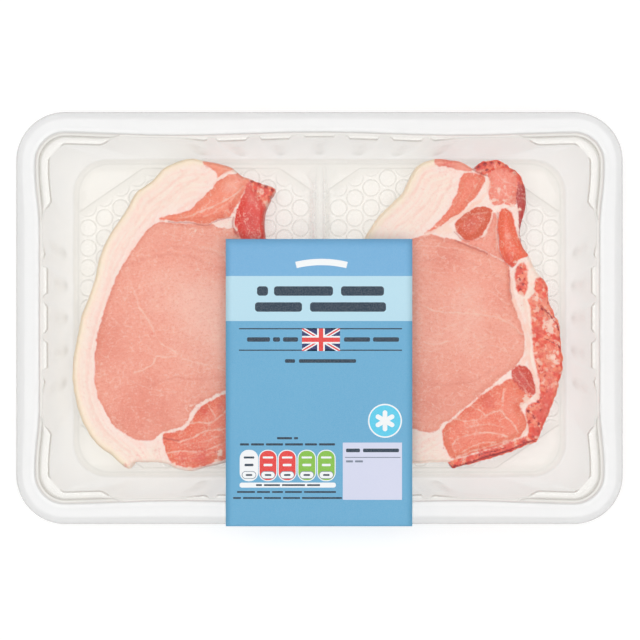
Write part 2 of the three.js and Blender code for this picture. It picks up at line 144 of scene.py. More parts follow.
# Meat, by points read off the photograph, all in its pixels. A muscle has a tone, its swell in
# millimetres, the turn of its fibres in degrees and an outline. A line has its half width in
# millimetres and its points, and a spot its place, radius in pixels and strength.
MEAT_SHAKE_SEED = 11
LOW_ROUNDING = 3.0
LINE_SIDE_GAP = 0.3
FAT_LINE_HALF = 0.1
LEFT_CHOP = {
    "outline": (
        (190, 158), (173, 163), (162, 169), (151, 181), (136, 192), (128, 206), (116, 224),
        (106, 240), (99, 257), (94, 279), (88, 298), (81, 315), (77, 336), (73, 357), (72, 379),
        (76, 404), (84, 426), (96, 444), (110, 455), (122, 466), (130, 469), (135, 463),
        (150, 463), (164, 463.5), (175, 468.5), (190, 471.5), (207, 467.5), (226, 463),
        (246, 456), (266, 446), (283, 430), (294, 402), (301, 370), (301, 340), (294, 305),
        (282, 276), (270, 254), (265, 236), (264, 215), (270, 199), (275, 189), (268, 185),
        (259, 182), (250, 178.5), (240, 174.5), (231, 167), (216, 162.5), (203, 160.5),
    ),
    "rind": (
        (200, 159), (190, 158), (173, 163), (162, 169), (151, 181), (136, 192), (128, 206),
        (116, 224), (106, 240), (99, 257), (94, 279), (88, 298), (81, 315), (77, 336),
        (73, 357), (72, 379), (76, 404), (84, 426), (96, 444), (110, 455), (122, 466),
    ),
    "muscles": (
        ("loin", 0.35, 8, (
            (154, 223.5), (147, 230), (136, 244), (120, 270), (110, 292), (102, 318), (96, 346),
            (94, 370), (96, 389), (102, 407), (113, 424), (127, 435), (142, 440.5), (153, 438.5),
            (161, 432), (170, 430), (180, 427.5), (187, 420), (194, 407), (203, 401), (214, 396),
            (226, 390.5), (245, 380), (262, 358), (266, 330), (261, 300), (252, 270), (245, 250),
            (240, 238), (234.5, 229.5), (226, 229.5), (218, 227.5), (211, 224), (203, 223.8),
            (190, 224), (173, 223),
            (162, 221.5),
        )),
        ("cap", 1.0, 38, (
            (159, 218.5), (168, 216), (177, 213.7), (190, 209.4), (198.7, 201.8), (209.6, 191),
            (216, 183.5), (224, 178), (233, 173.5), (241, 172.5), (247, 176), (248.5, 181),
            (246, 186), (243.5, 192), (240, 200), (235, 209), (230.5, 216), (216, 220),
            (203, 223.5), (190, 221.8), (173, 220.5),
        )),
        ("flap", 0.7, 20, (
            (203, 162.5), (207, 159), (216, 157), (233, 160), (243, 167), (247, 171),
            (238, 169.5), (230, 170.5), (222, 174), (217, 178), (216, 172.5), (209, 167),
        )),
        ("side", 1.1, 80, (
            (247.5, 181.5), (241, 200.5), (236, 215), (236, 226), (241, 238), (248, 250),
            (258, 252), (268, 240), (272, 225), (268, 210), (262, 199), (253, 188),
        )),
        ("tail", 0.9, 20, (
            (162, 435), (172, 433), (182, 430.5), (190, 423), (197, 411), (205, 404.5),
            (215, 399.5), (226, 394.5), (248, 384), (268, 364), (280, 372), (284, 392),
            (280, 415), (272, 434), (258, 447), (240, 455), (226, 459.5), (210, 464), (195, 468),
            (180, 465.5), (171, 463), (166, 452),
        )),
    ),
    "bones": (
        (
            (249, 176), (262, 179), (278, 185), (279, 192), (272, 200), (266, 207), (260, 197),
            (252, 187),
        ),
        (
            (262, 250), (272, 272), (282, 300), (288, 336), (287, 368), (286, 396), (278, 424),
            (264, 446), (278, 454), (302, 430), (314, 380), (314, 330), (298, 280), (277, 248),
        ),
    ),
    "seams": (
        (0.16, ((194, 215), (205, 209), (220, 203), (233, 196.5), (243, 187))),
        (0.10, ((214, 184), (220, 177), (228, 172), (238, 170.5), (246, 173))),
        (0.14, ((188, 423), (200, 422.5), (212, 421.5), (226, 411), (240, 402))),
        (0.06, ((207, 404), (210, 409), (214, 415), (214.5, 421))),
        (0.16, ((178, 442.5), (194, 437), (207, 431), (226, 428), (250, 420))),
        (0.14, ((166, 453.5), (181, 451), (199, 452), (212, 448), (226, 442), (246, 438))),
        (0.08, ((139, 307), (149, 322), (155.5, 335), (162, 344), (173, 350.5), (178, 355))),
        (0.08, ((156.5, 356), (166, 357), (177, 356.5))),
        (0.08, ((156.5, 356), (152, 364), (144, 368.5), (135, 372))),
    ),
    "faint_seams": (
        (0.15, ((203, 216), (216, 211), (228, 203), (238, 196))),
        (0.10, ((176, 219), (190, 216.5), (203, 211))),
        (0.10, ((128, 277), (133, 290), (139, 307))),
        (0.05, ((156.5, 356), (150, 348), (146, 344))),
        (0.10, ((182, 358), (203, 364.5), (226, 370), (250, 372))),
        (0.05, ((193, 277), (196, 274), (197, 269))),
        (0.05, ((199, 281), (202, 275), (200, 270))),
        (0.05, ((200, 246), (212, 250), (222, 256))),
        (0.08, ((180, 446), (200, 442), (222, 436))),
        (0.08, ((176, 459), (198, 457), (220, 451))),
        (0.05, ((130, 380), (150, 389), (176, 392))),
    ),
    # Creases sink in the relief, and the lean is also darkened along them as painted shade.
    "creases": (
        (0.05, ((168, 221.5), (190, 223), (203, 225.5), (216, 221.5), (231, 217))),
        (0.20, ((234, 217), (233.5, 227), (238, 237))),
        (0.14, ((162, 438.5), (170, 440), (179, 440.5))),
    ),
    "dusky_lines": (
        (0.25, ((120, 268), (150, 257), (185, 255), (205, 262), (226, 270), (250, 268))),
        (0.15, ((150, 250), (180, 247), (206, 252), (226, 258))),
        (0.15, ((226, 209), (236, 199), (243, 190))),
        (0.20, ((152, 225), (138, 243), (121, 271), (111, 293), (103, 319), (97, 346))),
        (0.15, ((160, 222.5), (175, 224.5), (190, 227))),
        (0.15, ((150, 386), (176, 378), (205, 380), (226, 376))),
    ),
    "fat_lines": (
        (
            (199, 177), (181, 188), (164, 201), (147, 218), (131, 238), (114, 270), (103, 300),
            (94, 330), (89, 360), (88, 388), (95, 415), (110, 436), (130, 452),
        ),
        ((212, 196), (196, 200), (178, 210)),
        ((186, 172), (168, 186), (150, 202), (134, 224)),
    ),
    "blood_lines": (),
    "blood": (
        (252, 181, 2.4, 1.0), (259, 184, 2.2, 0.9), (266, 186.5, 2.4, 1.0),
        (272, 190, 2.2, 0.9), (270, 197, 2.4, 0.8), (124, 466, 2.0, 0.5), (256, 190, 2.0, 0.6),
        (216, 452, 2.6, 0.5), (222, 459, 2.4, 0.5), (233, 166, 2.5, 0.3), (213, 161, 2.5, 0.3),
    ),
    "red": (
        (203, 411, 6.0, 0.55), (152, 334, 4.0, 0.4), (140, 456, 9.0, 0.2), (158, 452, 8.0, 0.2),
        (220, 405, 6.0, 0.45), (202, 458, 12.0, 0.6), (182, 459, 8.0, 0.5),
        (170, 438, 5.0, 0.4), (232, 208, 6.0, 0.5), (222, 216, 6.0, 0.4), (200, 218, 6.0, 0.3),
        (240, 178, 6.0, 0.3), (208, 163, 5.0, 0.3), (126, 466, 4.0, 0.5), (236, 232, 4.0, 0.6),
        (250, 208, 8.0, 0.35),
    ),
    "pale": (
        (192, 231, 5.0, 0.55), (200, 236, 4.0, 0.3), (220, 453, 4.0, 0.7), (217, 460, 3.6, 0.6),
        (262, 192, 3.5, 0.7), (227, 225, 4.5, 0.3), (175, 465.5, 3.0, 0.8), (190, 469, 3.0, 0.9),
        (200, 468, 3.0, 0.8), (188, 226, 6.0, 0.15), (190, 406, 5.0, 0.45), (162, 442, 3.0, 0.3),
    ),
    # Painted shade and painted light beside the lean's own uneven tone: positive spots darken the
    # lean, negative ones lighten it, most beside the label, where its shadow falls.
    "shade": (
        (110, 350, 26, 0.75), (128, 408, 30, 0.85), (165, 405, 26, 0.5), (168, 238, 20, 0.45),
        (200, 300, 34, -0.7), (232, 330, 36, -0.6), (150, 285, 24, -0.25), (204, 345, 24, -0.3),
        (150, 372, 14, 0.2), (214, 214, 9, 0.5), (234, 203, 8, 0.6), (226, 186, 8, -0.3),
        (246, 222, 8, 0.4), (252, 220, 12, 0.7), (190, 457, 14, 0.5), (202, 410, 8, 0.9),
    ),
}

RIGHT_CHOP = {
    "outline": (
        (366, 235), (372, 226), (379, 216), (392, 203), (403, 192), (409, 179), (416, 167),
        (427, 160.5), (438, 158.5), (450, 159.5), (461, 161.5), (470, 166), (474, 168.5),
        (477, 165), (483, 161), (492, 160), (500, 160.6), (513, 168), (520, 175), (525.5, 187),
        (526, 207), (521, 227), (522, 244), (529, 255), (536, 270), (547, 284), (549, 298),
        (554, 312), (559, 322), (561, 339.5), (563.5, 363), (558.5, 387), (551.8, 409),
        (543.5, 427), (537.5, 441.5), (524, 446.8), (508, 453), (492, 459), (475, 463.3),
        (461, 466.6), (452.5, 469), (448, 463), (430, 463), (413, 464), (388, 460), (362, 441),
        (346, 412), (337, 378), (337, 338), (345, 296), (355, 258),
    ),
    "rind": (
        (345, 296), (355, 258), (366, 235), (372, 226), (379, 216), (392, 203), (403, 192),
        (409, 179), (416, 167), (427, 160.5), (436, 158.5),
    ),
    "muscles": (
        ("loin", 0.35, -12, (
            (414, 237.6), (431, 235.4), (450.6, 238.6), (470, 245), (487.4, 252.7),
            (502.6, 261.4), (509, 268), (510, 287), (513.4, 302.6), (520, 320), (524.3, 335),
            (524.3, 352), (520, 361), (509, 372), (492, 385), (479, 396), (466, 407),
            (453, 417.5), (441, 424.5), (436, 432), (424, 432), (412, 429), (388, 423),
            (368, 404), (359, 376), (358, 340), (366, 302), (380, 264), (396, 244),
        )),
        ("strip", 0.8, 60, (
            (462.5, 174.7), (459, 188), (452.7, 203), (444, 215), (434, 226), (424, 233.5),
            (438, 227.5), (453, 216.5), (470, 203.5), (481, 188.5), (484.5, 177), (474, 173),
        )),
        ("rosy", 0.3, 0, (
            (436, 156), (450, 155), (470, 162), (473, 170), (462, 170.5), (448, 166), (437, 165),
        )),
        ("oval", 1.2, 35, (
            (456, 223.5), (463.6, 213.7), (478.8, 207.2), (491, 209), (490.7, 218), (485.3, 229),
            (478.8, 237.6), (468, 239.7), (458.2, 233.2),
        )),
        ("rosy", 0.6, 75, (
            (494, 213), (497.5, 222), (497.5, 236), (498, 247), (504, 259), (494, 255.5),
            (482, 249), (468, 243.5), (461, 240.5), (474, 240), (484, 236.5), (489, 227),
        )),
        ("column", 1.2, 100, (
            (500.4, 210.5), (498.3, 226.7), (499.3, 244), (504.8, 261), (513.4, 266.5),
            (518, 259), (529, 255), (521, 243), (516, 230), (512, 215), (507, 208),
        )),
        ("tip", 0.7, 70, (
            (490, 180), (486, 170), (494, 164), (506, 165), (514, 170), (518, 180), (517, 196),
            (513, 206), (504, 203), (494, 205), (489, 196),
        )),
        ("maroon", 0.2, 85, (
            (516.8, 184), (521, 181), (526, 187), (527, 200), (525.5, 211), (523, 224),
            (519, 224), (517.5, 212), (516.2, 199),
        )),
        ("stripe", 0.6, -50, (
            (513, 370), (520, 365.5), (528, 367), (533, 378), (535, 392), (528, 394), (520, 388),
            (513, 380),
        )),
        ("tail", 0.9, 25, (
            (447, 424), (453.5, 420), (466, 409.5), (479, 398.5), (492, 388.5), (502, 384),
            (510, 379.5), (516, 382), (523, 390.5), (531, 395.5), (528, 400), (520, 405),
            (522, 412), (527, 424), (522, 434), (512, 441),
            (492, 448), (475, 453), (460, 457.5), (451, 457), (446, 449), (443, 440), (443, 430),
        )),
    ),
    "bones": (
        (
            (476, 172), (475, 163), (484, 156), (502, 156), (516, 165), (524, 174),
            (527, 184), (518, 183), (512, 173), (500, 168.5), (490, 172), (484, 176),
        ),
        (
            (522, 262), (527, 267), (528.5, 277), (528, 288), (524, 295.5), (519, 292.5),
            (515.8, 284), (515.5, 272), (518, 265),
        ),
        (
            (536, 278), (548, 280), (560, 300), (569, 330), (571, 365), (562, 400), (550, 432),
            (543, 446), (524, 449), (527, 438), (529, 428), (525, 416), (528, 405), (538, 399),
            (540, 388),
            (537, 372), (533, 350), (532, 330), (530, 310), (528, 300), (534, 292),
        ),
        (
            (448, 462), (470, 455.5), (490, 449.5), (512, 441.5), (530, 436), (541, 436),
            (541, 448), (505, 462), (455, 478),
        ),
    ),
    "seams": (
        (0.55, ((490, 178), (487, 192), (474.5, 205), (457, 216), (440, 228), (424, 236))),
        (0.12, ((497.5, 211), (496.5, 231), (496.5, 250))),
        (0.16, ((492.5, 212), (489, 228), (483, 241))),
        (0.14, ((454, 419), (470, 420.5), (479, 419.5), (492, 413), (500.5, 409))),
        (0.12, ((500.5, 409), (502.5, 400), (503.5, 389))),
        (0.14, ((500.5, 410), (506, 417), (511.5, 422), (518, 433))),
        (0.08, ((470, 405), (480.9, 411.5), (485, 417))),
        (0.16, ((452.7, 443.5), (460, 438), (470, 435), (492, 432.5), (507, 437))),
        (0.08, ((462, 452), (479, 443.5), (496, 441.5))),
        (0.12, (
            (424, 306), (437.6, 311.3), (461.4, 312.4), (483, 314.5), (500.4, 317.8),
            (513.4, 325.4), (523, 334),
        )),
        (0.06, ((417, 335), (426.7, 342.7), (435.4, 343.8), (450.6, 340.5))),
        (0.70, ((511, 280), (514, 300), (521.5, 318), (527, 333), (528.5, 352), (523, 364))),
        (0.60, ((526, 348), (531, 366), (536, 380), (537.5, 398))),
        (0.40, ((526, 400), (530, 412), (530, 425), (520, 437), (505, 443))),
        (0.10, ((507, 441), (480, 449), (456, 457))),
        (0.50, ((524, 300), (527, 318), (531, 335))),
    ),
    "faint_seams": (
        (0.10, ((479, 315.6), (461, 322), (444, 328.6))),
        (0.05, ((488, 290), (496, 295), (504, 300))),
        (0.10, ((520, 372), (527, 381), (533, 390))),
        (0.08, ((515, 377), (522, 385), (527, 392))),
        (0.10, ((466, 200), (474, 190), (480, 180))),
        (0.10, ((462, 218), (474, 214), (487, 213))),
        (0.10, ((496, 172), (503, 180), (514, 184))),
        (0.10, ((492, 186), (502, 190), (512, 200))),
        (0.05, ((420, 246), (446, 247), (470, 252))),
        (0.08, ((470, 426), (490, 424), (505, 428))),
        (0.05, ((470, 352), (490, 346), (506, 350))),
    ),
    # Creases sink in the relief, and the lean is also darkened along them as painted shade.
    "creases": (
        (0.16, ((455, 240.5), (470, 246.5), (480, 250.5), (488, 254))),
        (0.06, ((455, 232), (461, 238.5), (470, 241))),
        (0.06, ((498, 213), (498, 228), (499, 245), (505, 262), (512, 267))),
        (0.10, ((470, 166), (474, 170.5), (480, 173), (488, 176))),
        (0.10, ((541, 306), (546, 312), (549, 318))),
        (0.06, ((509, 270), (510, 285), (512, 298))),
    ),
    "dusky_lines": (
        (0.20, ((447, 459), (470, 453), (490, 447), (505, 442))),
        (0.20, ((414, 240), (431, 238), (450.6, 241.5), (470, 248), (487.4, 256))),
        (0.20, ((507, 268), (508, 287), (511.5, 303), (518, 321), (522.5, 336))),
        (0.15, ((420, 262), (450, 258), (480, 266), (500, 280))),
        (0.15, ((500, 365), (480, 378), (458, 384), (430, 384))),
        (0.15, ((520, 360), (508, 370), (490, 383), (474, 397))),
        (0.06, ((524, 371), (530, 381), (534, 391))),
        (0.06, ((517, 372), (524, 383), (530, 392))),
    ),
    "fat_lines": (
        ((424, 172), (414, 192), (398, 208), (384, 222)),
        ((440, 185), (428, 202), (410, 218), (396, 228)),
        ((452, 178), (446, 194), (434, 212), (420, 226)),
    ),
    "blood_lines": (
        (0.7, ((453, 467.5), (462, 465), (475, 461), (484, 458), (498, 454))),
        (0.35, ((478, 455.5), (490, 452), (505, 448))),
        (0.5, ((498, 454), (512, 449), (526, 443.5), (536, 440))),
        (0.35, ((521, 222), (519.8, 230), (521.3, 242))),
        (0.35, ((540.8, 308), (546, 311), (552, 317), (557, 325), (559.5, 334))),
        (0.30, ((545, 339), (552, 341.5), (558, 345), (561, 351))),
    ),
    "blood": (
        (479, 167, 2.6, 1.0), (485, 164, 2.6, 1.0), (492, 163, 2.4, 0.9), (487, 170, 2.0, 1.0),
        (499, 163, 2.2, 0.8), (506, 165.5, 2.0, 0.7), (513, 170, 2.0, 0.6), (482, 173, 1.6, 0.9),
        (517.5, 198, 1.6, 0.9), (518, 190, 1.4, 0.7), (519.5, 226, 1.2, 0.8),
        (520.5, 236, 1.1, 0.8),
        (521, 268, 1.6, 1.0), (523, 273, 1.4, 0.9), (520, 279, 1.7, 1.0), (523, 284, 1.8, 1.0),
        (521, 289.5, 1.9, 1.0), (518.5, 286, 1.3, 0.9), (525, 279, 1.2, 0.8),
        (521.5, 264, 1.2, 0.7),
        (542, 309, 1.6, 1.0), (540, 366, 1.6, 0.9), (538.5, 402, 1.9, 1.0), (528, 411, 2.1, 1.0),
        (534, 417, 2.2, 1.0), (530, 422, 1.9, 1.0), (538.5, 424, 1.9, 0.9), (533, 406, 1.4, 0.9),
        (541, 410, 1.6, 0.8), (545, 376, 1.7, 0.8), (550, 384, 1.7, 0.8), (547, 392, 1.4, 0.7),
        (538, 431, 2.0, 0.7), (533, 437, 2.2, 0.9), (524, 441.5, 2.6, 0.9), (555, 372, 1.4, 0.6),
        (552, 352, 1.4, 0.5), (470, 462, 2.2, 0.6), (455, 466.5, 2.5, 0.9), (541, 398, 1.6, 0.7),
        (476, 168, 1.6, 1.0), (547, 330, 1.2, 0.5), (444, 448, 1.3, 0.6), (549, 303, 1.3, 0.6),
        (546, 290, 1.5, 0.5), (543, 350, 1.3, 0.6), (537, 340, 1.2, 0.5), (559, 385, 1.4, 0.6),
    ),
    "red": (
        (490, 404, 8.0, 0.45), (471, 412, 6.0, 0.35), (543, 284, 5.0, 0.5), (546, 398, 8.0, 0.8),
        (541, 414, 8.0, 0.9), (550, 380, 7.0, 0.5), (536, 432, 6.0, 0.9), (541, 345, 6.0, 0.4),
        (508, 258, 7.0, 0.6), (521.5, 271, 4.0, 0.8), (521, 285, 5.0, 0.8), (448, 162, 9.0, 0.5),
        (505, 168, 7.0, 0.5), (480, 168, 6.0, 0.7), (541, 312, 5.0, 0.5), (470, 461, 6.0, 0.8),
        (490, 455, 7.0, 1.0), (510, 448, 7.0, 0.9), (524, 443, 6.0, 0.9), (474, 222, 6.0, 0.3),
        (470, 180, 6.0, 0.2), (503, 224, 5.0, 0.2), (485, 405, 7.0, 0.4), (516, 405, 6.0, 0.3),
        (536, 345, 5.0, 0.4), (552, 345, 4.0, 0.3), (543, 372, 5.0, 0.6), (512, 264, 3.0, 0.9),
        (425, 447, 10.0, 0.2), (412, 440, 8.0, 0.18), (550, 392, 7.0, 0.9), (546, 408, 7.0, 0.9),
        (539, 318, 4.0, 0.4), (545, 300, 4.0, 0.4), (523, 380, 6.0, 0.5), (486, 400, 7.0, 0.4),
        (546, 402, 6.0, 1.0), (542, 418, 6.0, 1.0), (498, 453.5, 7.0, 1.0), (484, 457, 7.0, 1.0),
        (538, 330, 4.0, 0.6), (541, 356, 4.0, 0.7), (549, 372, 5.0, 0.6), (491, 164, 5.0, 0.8),
    ),
    "pale": (
        (499, 190, 5.0, 0.5), (494, 200, 4.5, 0.6), (505, 184, 5.0, 0.3), (488, 184, 3.6, 0.6),
        (505, 200, 5.0, 0.4), (512, 192, 4.0, 0.3), (557, 362, 4.0, 0.5), (560, 373, 3.0, 0.4),
        (551, 320, 4.5, 0.85), (550, 329, 5.0, 0.85), (557, 326, 3.0, 0.6), (527, 399, 4.5, 0.9),
        (537, 397, 4.0, 0.7), (521, 404, 3.0, 0.7), (532, 293, 3.6, 0.7), (515, 262, 3.0, 0.6),
        (530, 264, 3.8, 0.8), (536, 298, 4.5, 0.6), (532, 308, 4.0, 0.5), (557, 352, 4.5, 0.45),
        (553, 298, 3.5, 0.5), (513, 192, 3.5, 0.4), (447, 230, 6.0, 0.7), (512, 205, 3.4, 0.6),
        (438, 231, 5.0, 0.6), (534, 355, 4.0, 0.5), (519, 210, 2.6, 0.6), (529, 412, 2.6, 0.6),
        (545, 358, 3.5, 0.4), (548, 324, 7.0, 0.7), (554, 358, 6.0, 0.6), (542, 371, 4.0, 0.4),
    ),
    # Painted shade and painted light beside the lean's own uneven tone: positive spots darken the
    # lean, negative ones lighten it.
    "shade": (
        (445, 256, 20, 0.7), (430, 398, 30, 0.7), (500, 296, 16, 0.5), (480, 262, 14, 0.3),
        (470, 296, 28, -0.6), (480, 340, 30, -0.3), (440, 330, 24, -0.3), (470, 385, 18, 0.35),
        (505, 345, 14, 0.3), (470, 223, 5, 0.8), (464, 229, 4, 0.6), (480, 214, 4, 0.5),
        (508, 236, 4, -0.6), (488, 400, 9, 0.9), (470, 414, 6, 0.3), (522, 198, 9, 1.3),
        (523, 380, 10, 1.2), (450, 262, 18, 0.4), (474, 222, 9, 0.4), (504, 184, 9, 0.3),
    ),
}

# Tones of the lean, as they look under the pack's film
TONES = {
    "loin": (246, 162, 139),
    "cap": (250, 138, 106),
    "flap": (252, 156, 126),
    "strip": (247, 130, 100),
    "side": (232, 50, 30),
    "tail": (246, 124, 92),
    "oval": (228, 96, 60),
    "column": (248, 106, 68),
    "rosy": (248, 156, 134),
    "stripe": (218, 66, 44),
    "tip": (250, 140, 118),
    "maroon": (192, 44, 36),
}


def linear(colour):
    """Linear light values of a screen colour whose channels run from 0 to 255."""
    share = np.array(colour, dtype=float) / 255.0
    return np.where(share <= 0.04045, share / 12.92, ((share + 0.055) / 1.055) ** 2.4)


def photo_point(x, y, height):
    """Place in millimetres of a pixel of the photograph, at a height above the ground."""
    scale = PIXEL_AT_RIM * (CAMERA_ABOVE_RIM + RIM_Z - height) / CAMERA_ABOVE_RIM
    centre_x, centre_y = PHOTO_TRAY_CENTRE
    return (x - centre_x) * scale, TRAY_MIDDLE_Y + (centre_y - y) * scale


def photo_points(points, height):
    """Places in millimetres of several pixels, at one height."""
    return np.array([photo_point(x, y, height) for x, y in points])


def smooth_line(points, closed, spacing):
    """Points at an even spacing along a smooth curve through the given ones."""
    control = np.asarray(points, dtype=float)
    if closed:
        padded = np.vstack([control[-1], control, control[:2]])
    else:
        padded = np.vstack([2 * control[0] - control[1], control, 2 * control[-1] - control[-2]])
    share = np.linspace(0, 1, 12, endpoint=False)[:, None]
    spans = []
    for p0, p1, p2, p3 in zip(padded, padded[1:], padded[2:], padded[3:]):
        spans.append(0.5 * (
            2 * p1 + (p2 - p0) * share + (2 * p0 - 5 * p1 + 4 * p2 - p3) * share**2
            + (3 * p1 - p0 - 3 * p2 + p3) * share**3
        ))
    dense = np.vstack(spans + [control[:1] if closed else control[-1:]])
    steps = np.concatenate([[0], np.cumsum(np.linalg.norm(np.diff(dense, axis=0), axis=1))])
    count = max(2, int(round(steps[-1] / spacing)))
    places = np.linspace(0, steps[-1], count, endpoint=not closed)
    return np.column_stack([np.interp(places, steps, dense[:, k]) for k in range(2)])


def line_distance(points, line, closed=False):
    """Distance from each point to the nearest place on a line."""
    starts = np.asarray(line)
    ends = np.roll(starts, -1, axis=0)
    if not closed:
        starts, ends = starts[:-1], ends[:-1]
    nearest = np.full(len(points), np.inf)
    for start, end in zip(starts, ends):
        along = end - start
        length = max(along @ along, 1e-9)
        share = np.clip((points - start) @ along / length, 0, 1)
        gap = points - start - share[:, None] * along
        nearest = np.minimum(nearest, np.einsum("ij,ij->i", gap, gap))
    return np.sqrt(nearest)


def inside(points, outline):
    """Whether each point lies inside a closed outline."""
    x, y = points[:, 0], points[:, 1]
    found = np.zeros(len(points), dtype=bool)
    for (x1, y1), (x2, y2) in zip(outline, np.roll(outline, -1, axis=0)):
        if y1 == y2:
            continue
        crosses = ((y1 > y) != (y2 > y)) & (x < (x2 - x1) * (y - y1) / (y2 - y1) + x1)
        found ^= crosses
    return found


def depth_in(points, outline):
    """Distance from each point to a closed outline, positive inside it."""
    distance = line_distance(points, outline, closed=True)
    return np.where(inside(points, outline), distance, -distance)


def signed_area(outline):
    """Twice a closed outline's area, positive where it runs counterclockwise."""
    x, y = outline[:, 0], outline[:, 1]
    return np.sum(x * np.roll(y, -1) - y * np.roll(x, -1))


def on_plane(points):
    """Flat points with a height of nought."""
    return np.column_stack([points, np.zeros(len(points))])


def lattice(low, high, spacing):
    """Points of a triangular lattice over an oblong."""
    rows = np.arange(low[1], high[1], spacing * math.sqrt(3) / 2)
    columns = np.arange(low[0], high[0], spacing)
    grid = [np.column_stack([columns + (i % 2) * spacing / 2, np.full(len(columns), y)])
            for i, y in enumerate(rows)]
    return np.vstack(grid)


def fill_outline(outline, inner):
    """Triangles that join a closed outline and the loose points inside it."""
    points = np.vstack([outline, inner])
    made = delaunay_2d_cdt(
        [Vector(p) for p in points], [], [list(range(len(outline)))], 1, 1e-4,
    )
    triangles = np.array([f for f in made[2] if len(f) == 3])
    return np.array([tuple(p) for p in made[0]]), triangles


def ease(value, low, high):
    """0 below low, 1 above high, and a smooth rise between."""
    share = np.clip((value - low) / (high - low), 0, 1)
    return share * share * (3 - 2 * share)


def field_noise(points, scale, seed, octaves=2):
    """Smooth noise from about -1 to 1 at each 3-D point."""
    offset = Vector((seed * 17.3, seed * 5.1, seed * 9.7))
    return np.array([
        noise.fractal(Vector(p) * scale + offset, 0.8, 2.1, octaves, noise_basis="PERLIN_NEW")
        for p in points
    ])


def ring_faces(levels, count):
    """Quads between rings of equal point counts."""
    steps = np.arange(count)
    after = (steps + 1) % count
    bands = []
    for level in range(levels - 1):
        low, high = level * count, (level + 1) * count
        bands.append(np.column_stack([low + steps, low + after, high + after, high + steps]))
    return np.vstack(bands)


def make_object(name, points, faces, materials, smooth=True):
    """A mesh object from points in millimetres."""
    mesh = bpy.data.meshes.new(name)
    mesh.from_pydata((np.asarray(points) * MM).tolist(), [], [list(map(int, f)) for f in faces])
    mesh.validate()
    for material in materials:
        mesh.materials.append(material)
    mesh.polygons.foreach_set("use_smooth", [smooth] * len(mesh.polygons))
    mesh.update()
    piece = bpy.data.objects.new(name, mesh)
    bpy.context.collection.objects.link(piece)
    return piece


def add_values(piece, name, values):
    """Stores one number or colour for each point of a mesh, for its material to read."""
    values = np.asarray(values, dtype=np.float32)
    kind = "FLOAT" if values.ndim == 1 else "FLOAT_COLOR"
    attribute = piece.data.attributes.new(name, kind, "POINT")
    if values.ndim == 1:
        attribute.data.foreach_set("value", values)
    else:
        opaque = np.column_stack([values, np.ones(len(values), dtype=np.float32)])
        attribute.data.foreach_set("color", opaque.ravel())


def apply_modifiers(piece):
    """Makes a piece's modifiers part of its mesh."""
    graph = bpy.context.evaluated_depsgraph_get()
    made = bpy.data.meshes.new_from_object(piece.evaluated_get(graph))
    piece.modifiers.clear()
    piece.data = made


def add_to_pack(piece, nodes=()):
    """The piece belongs to the pack and stands for CAD nodes."""
    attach(piece, "root")
    if nodes:
        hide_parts(*nodes)


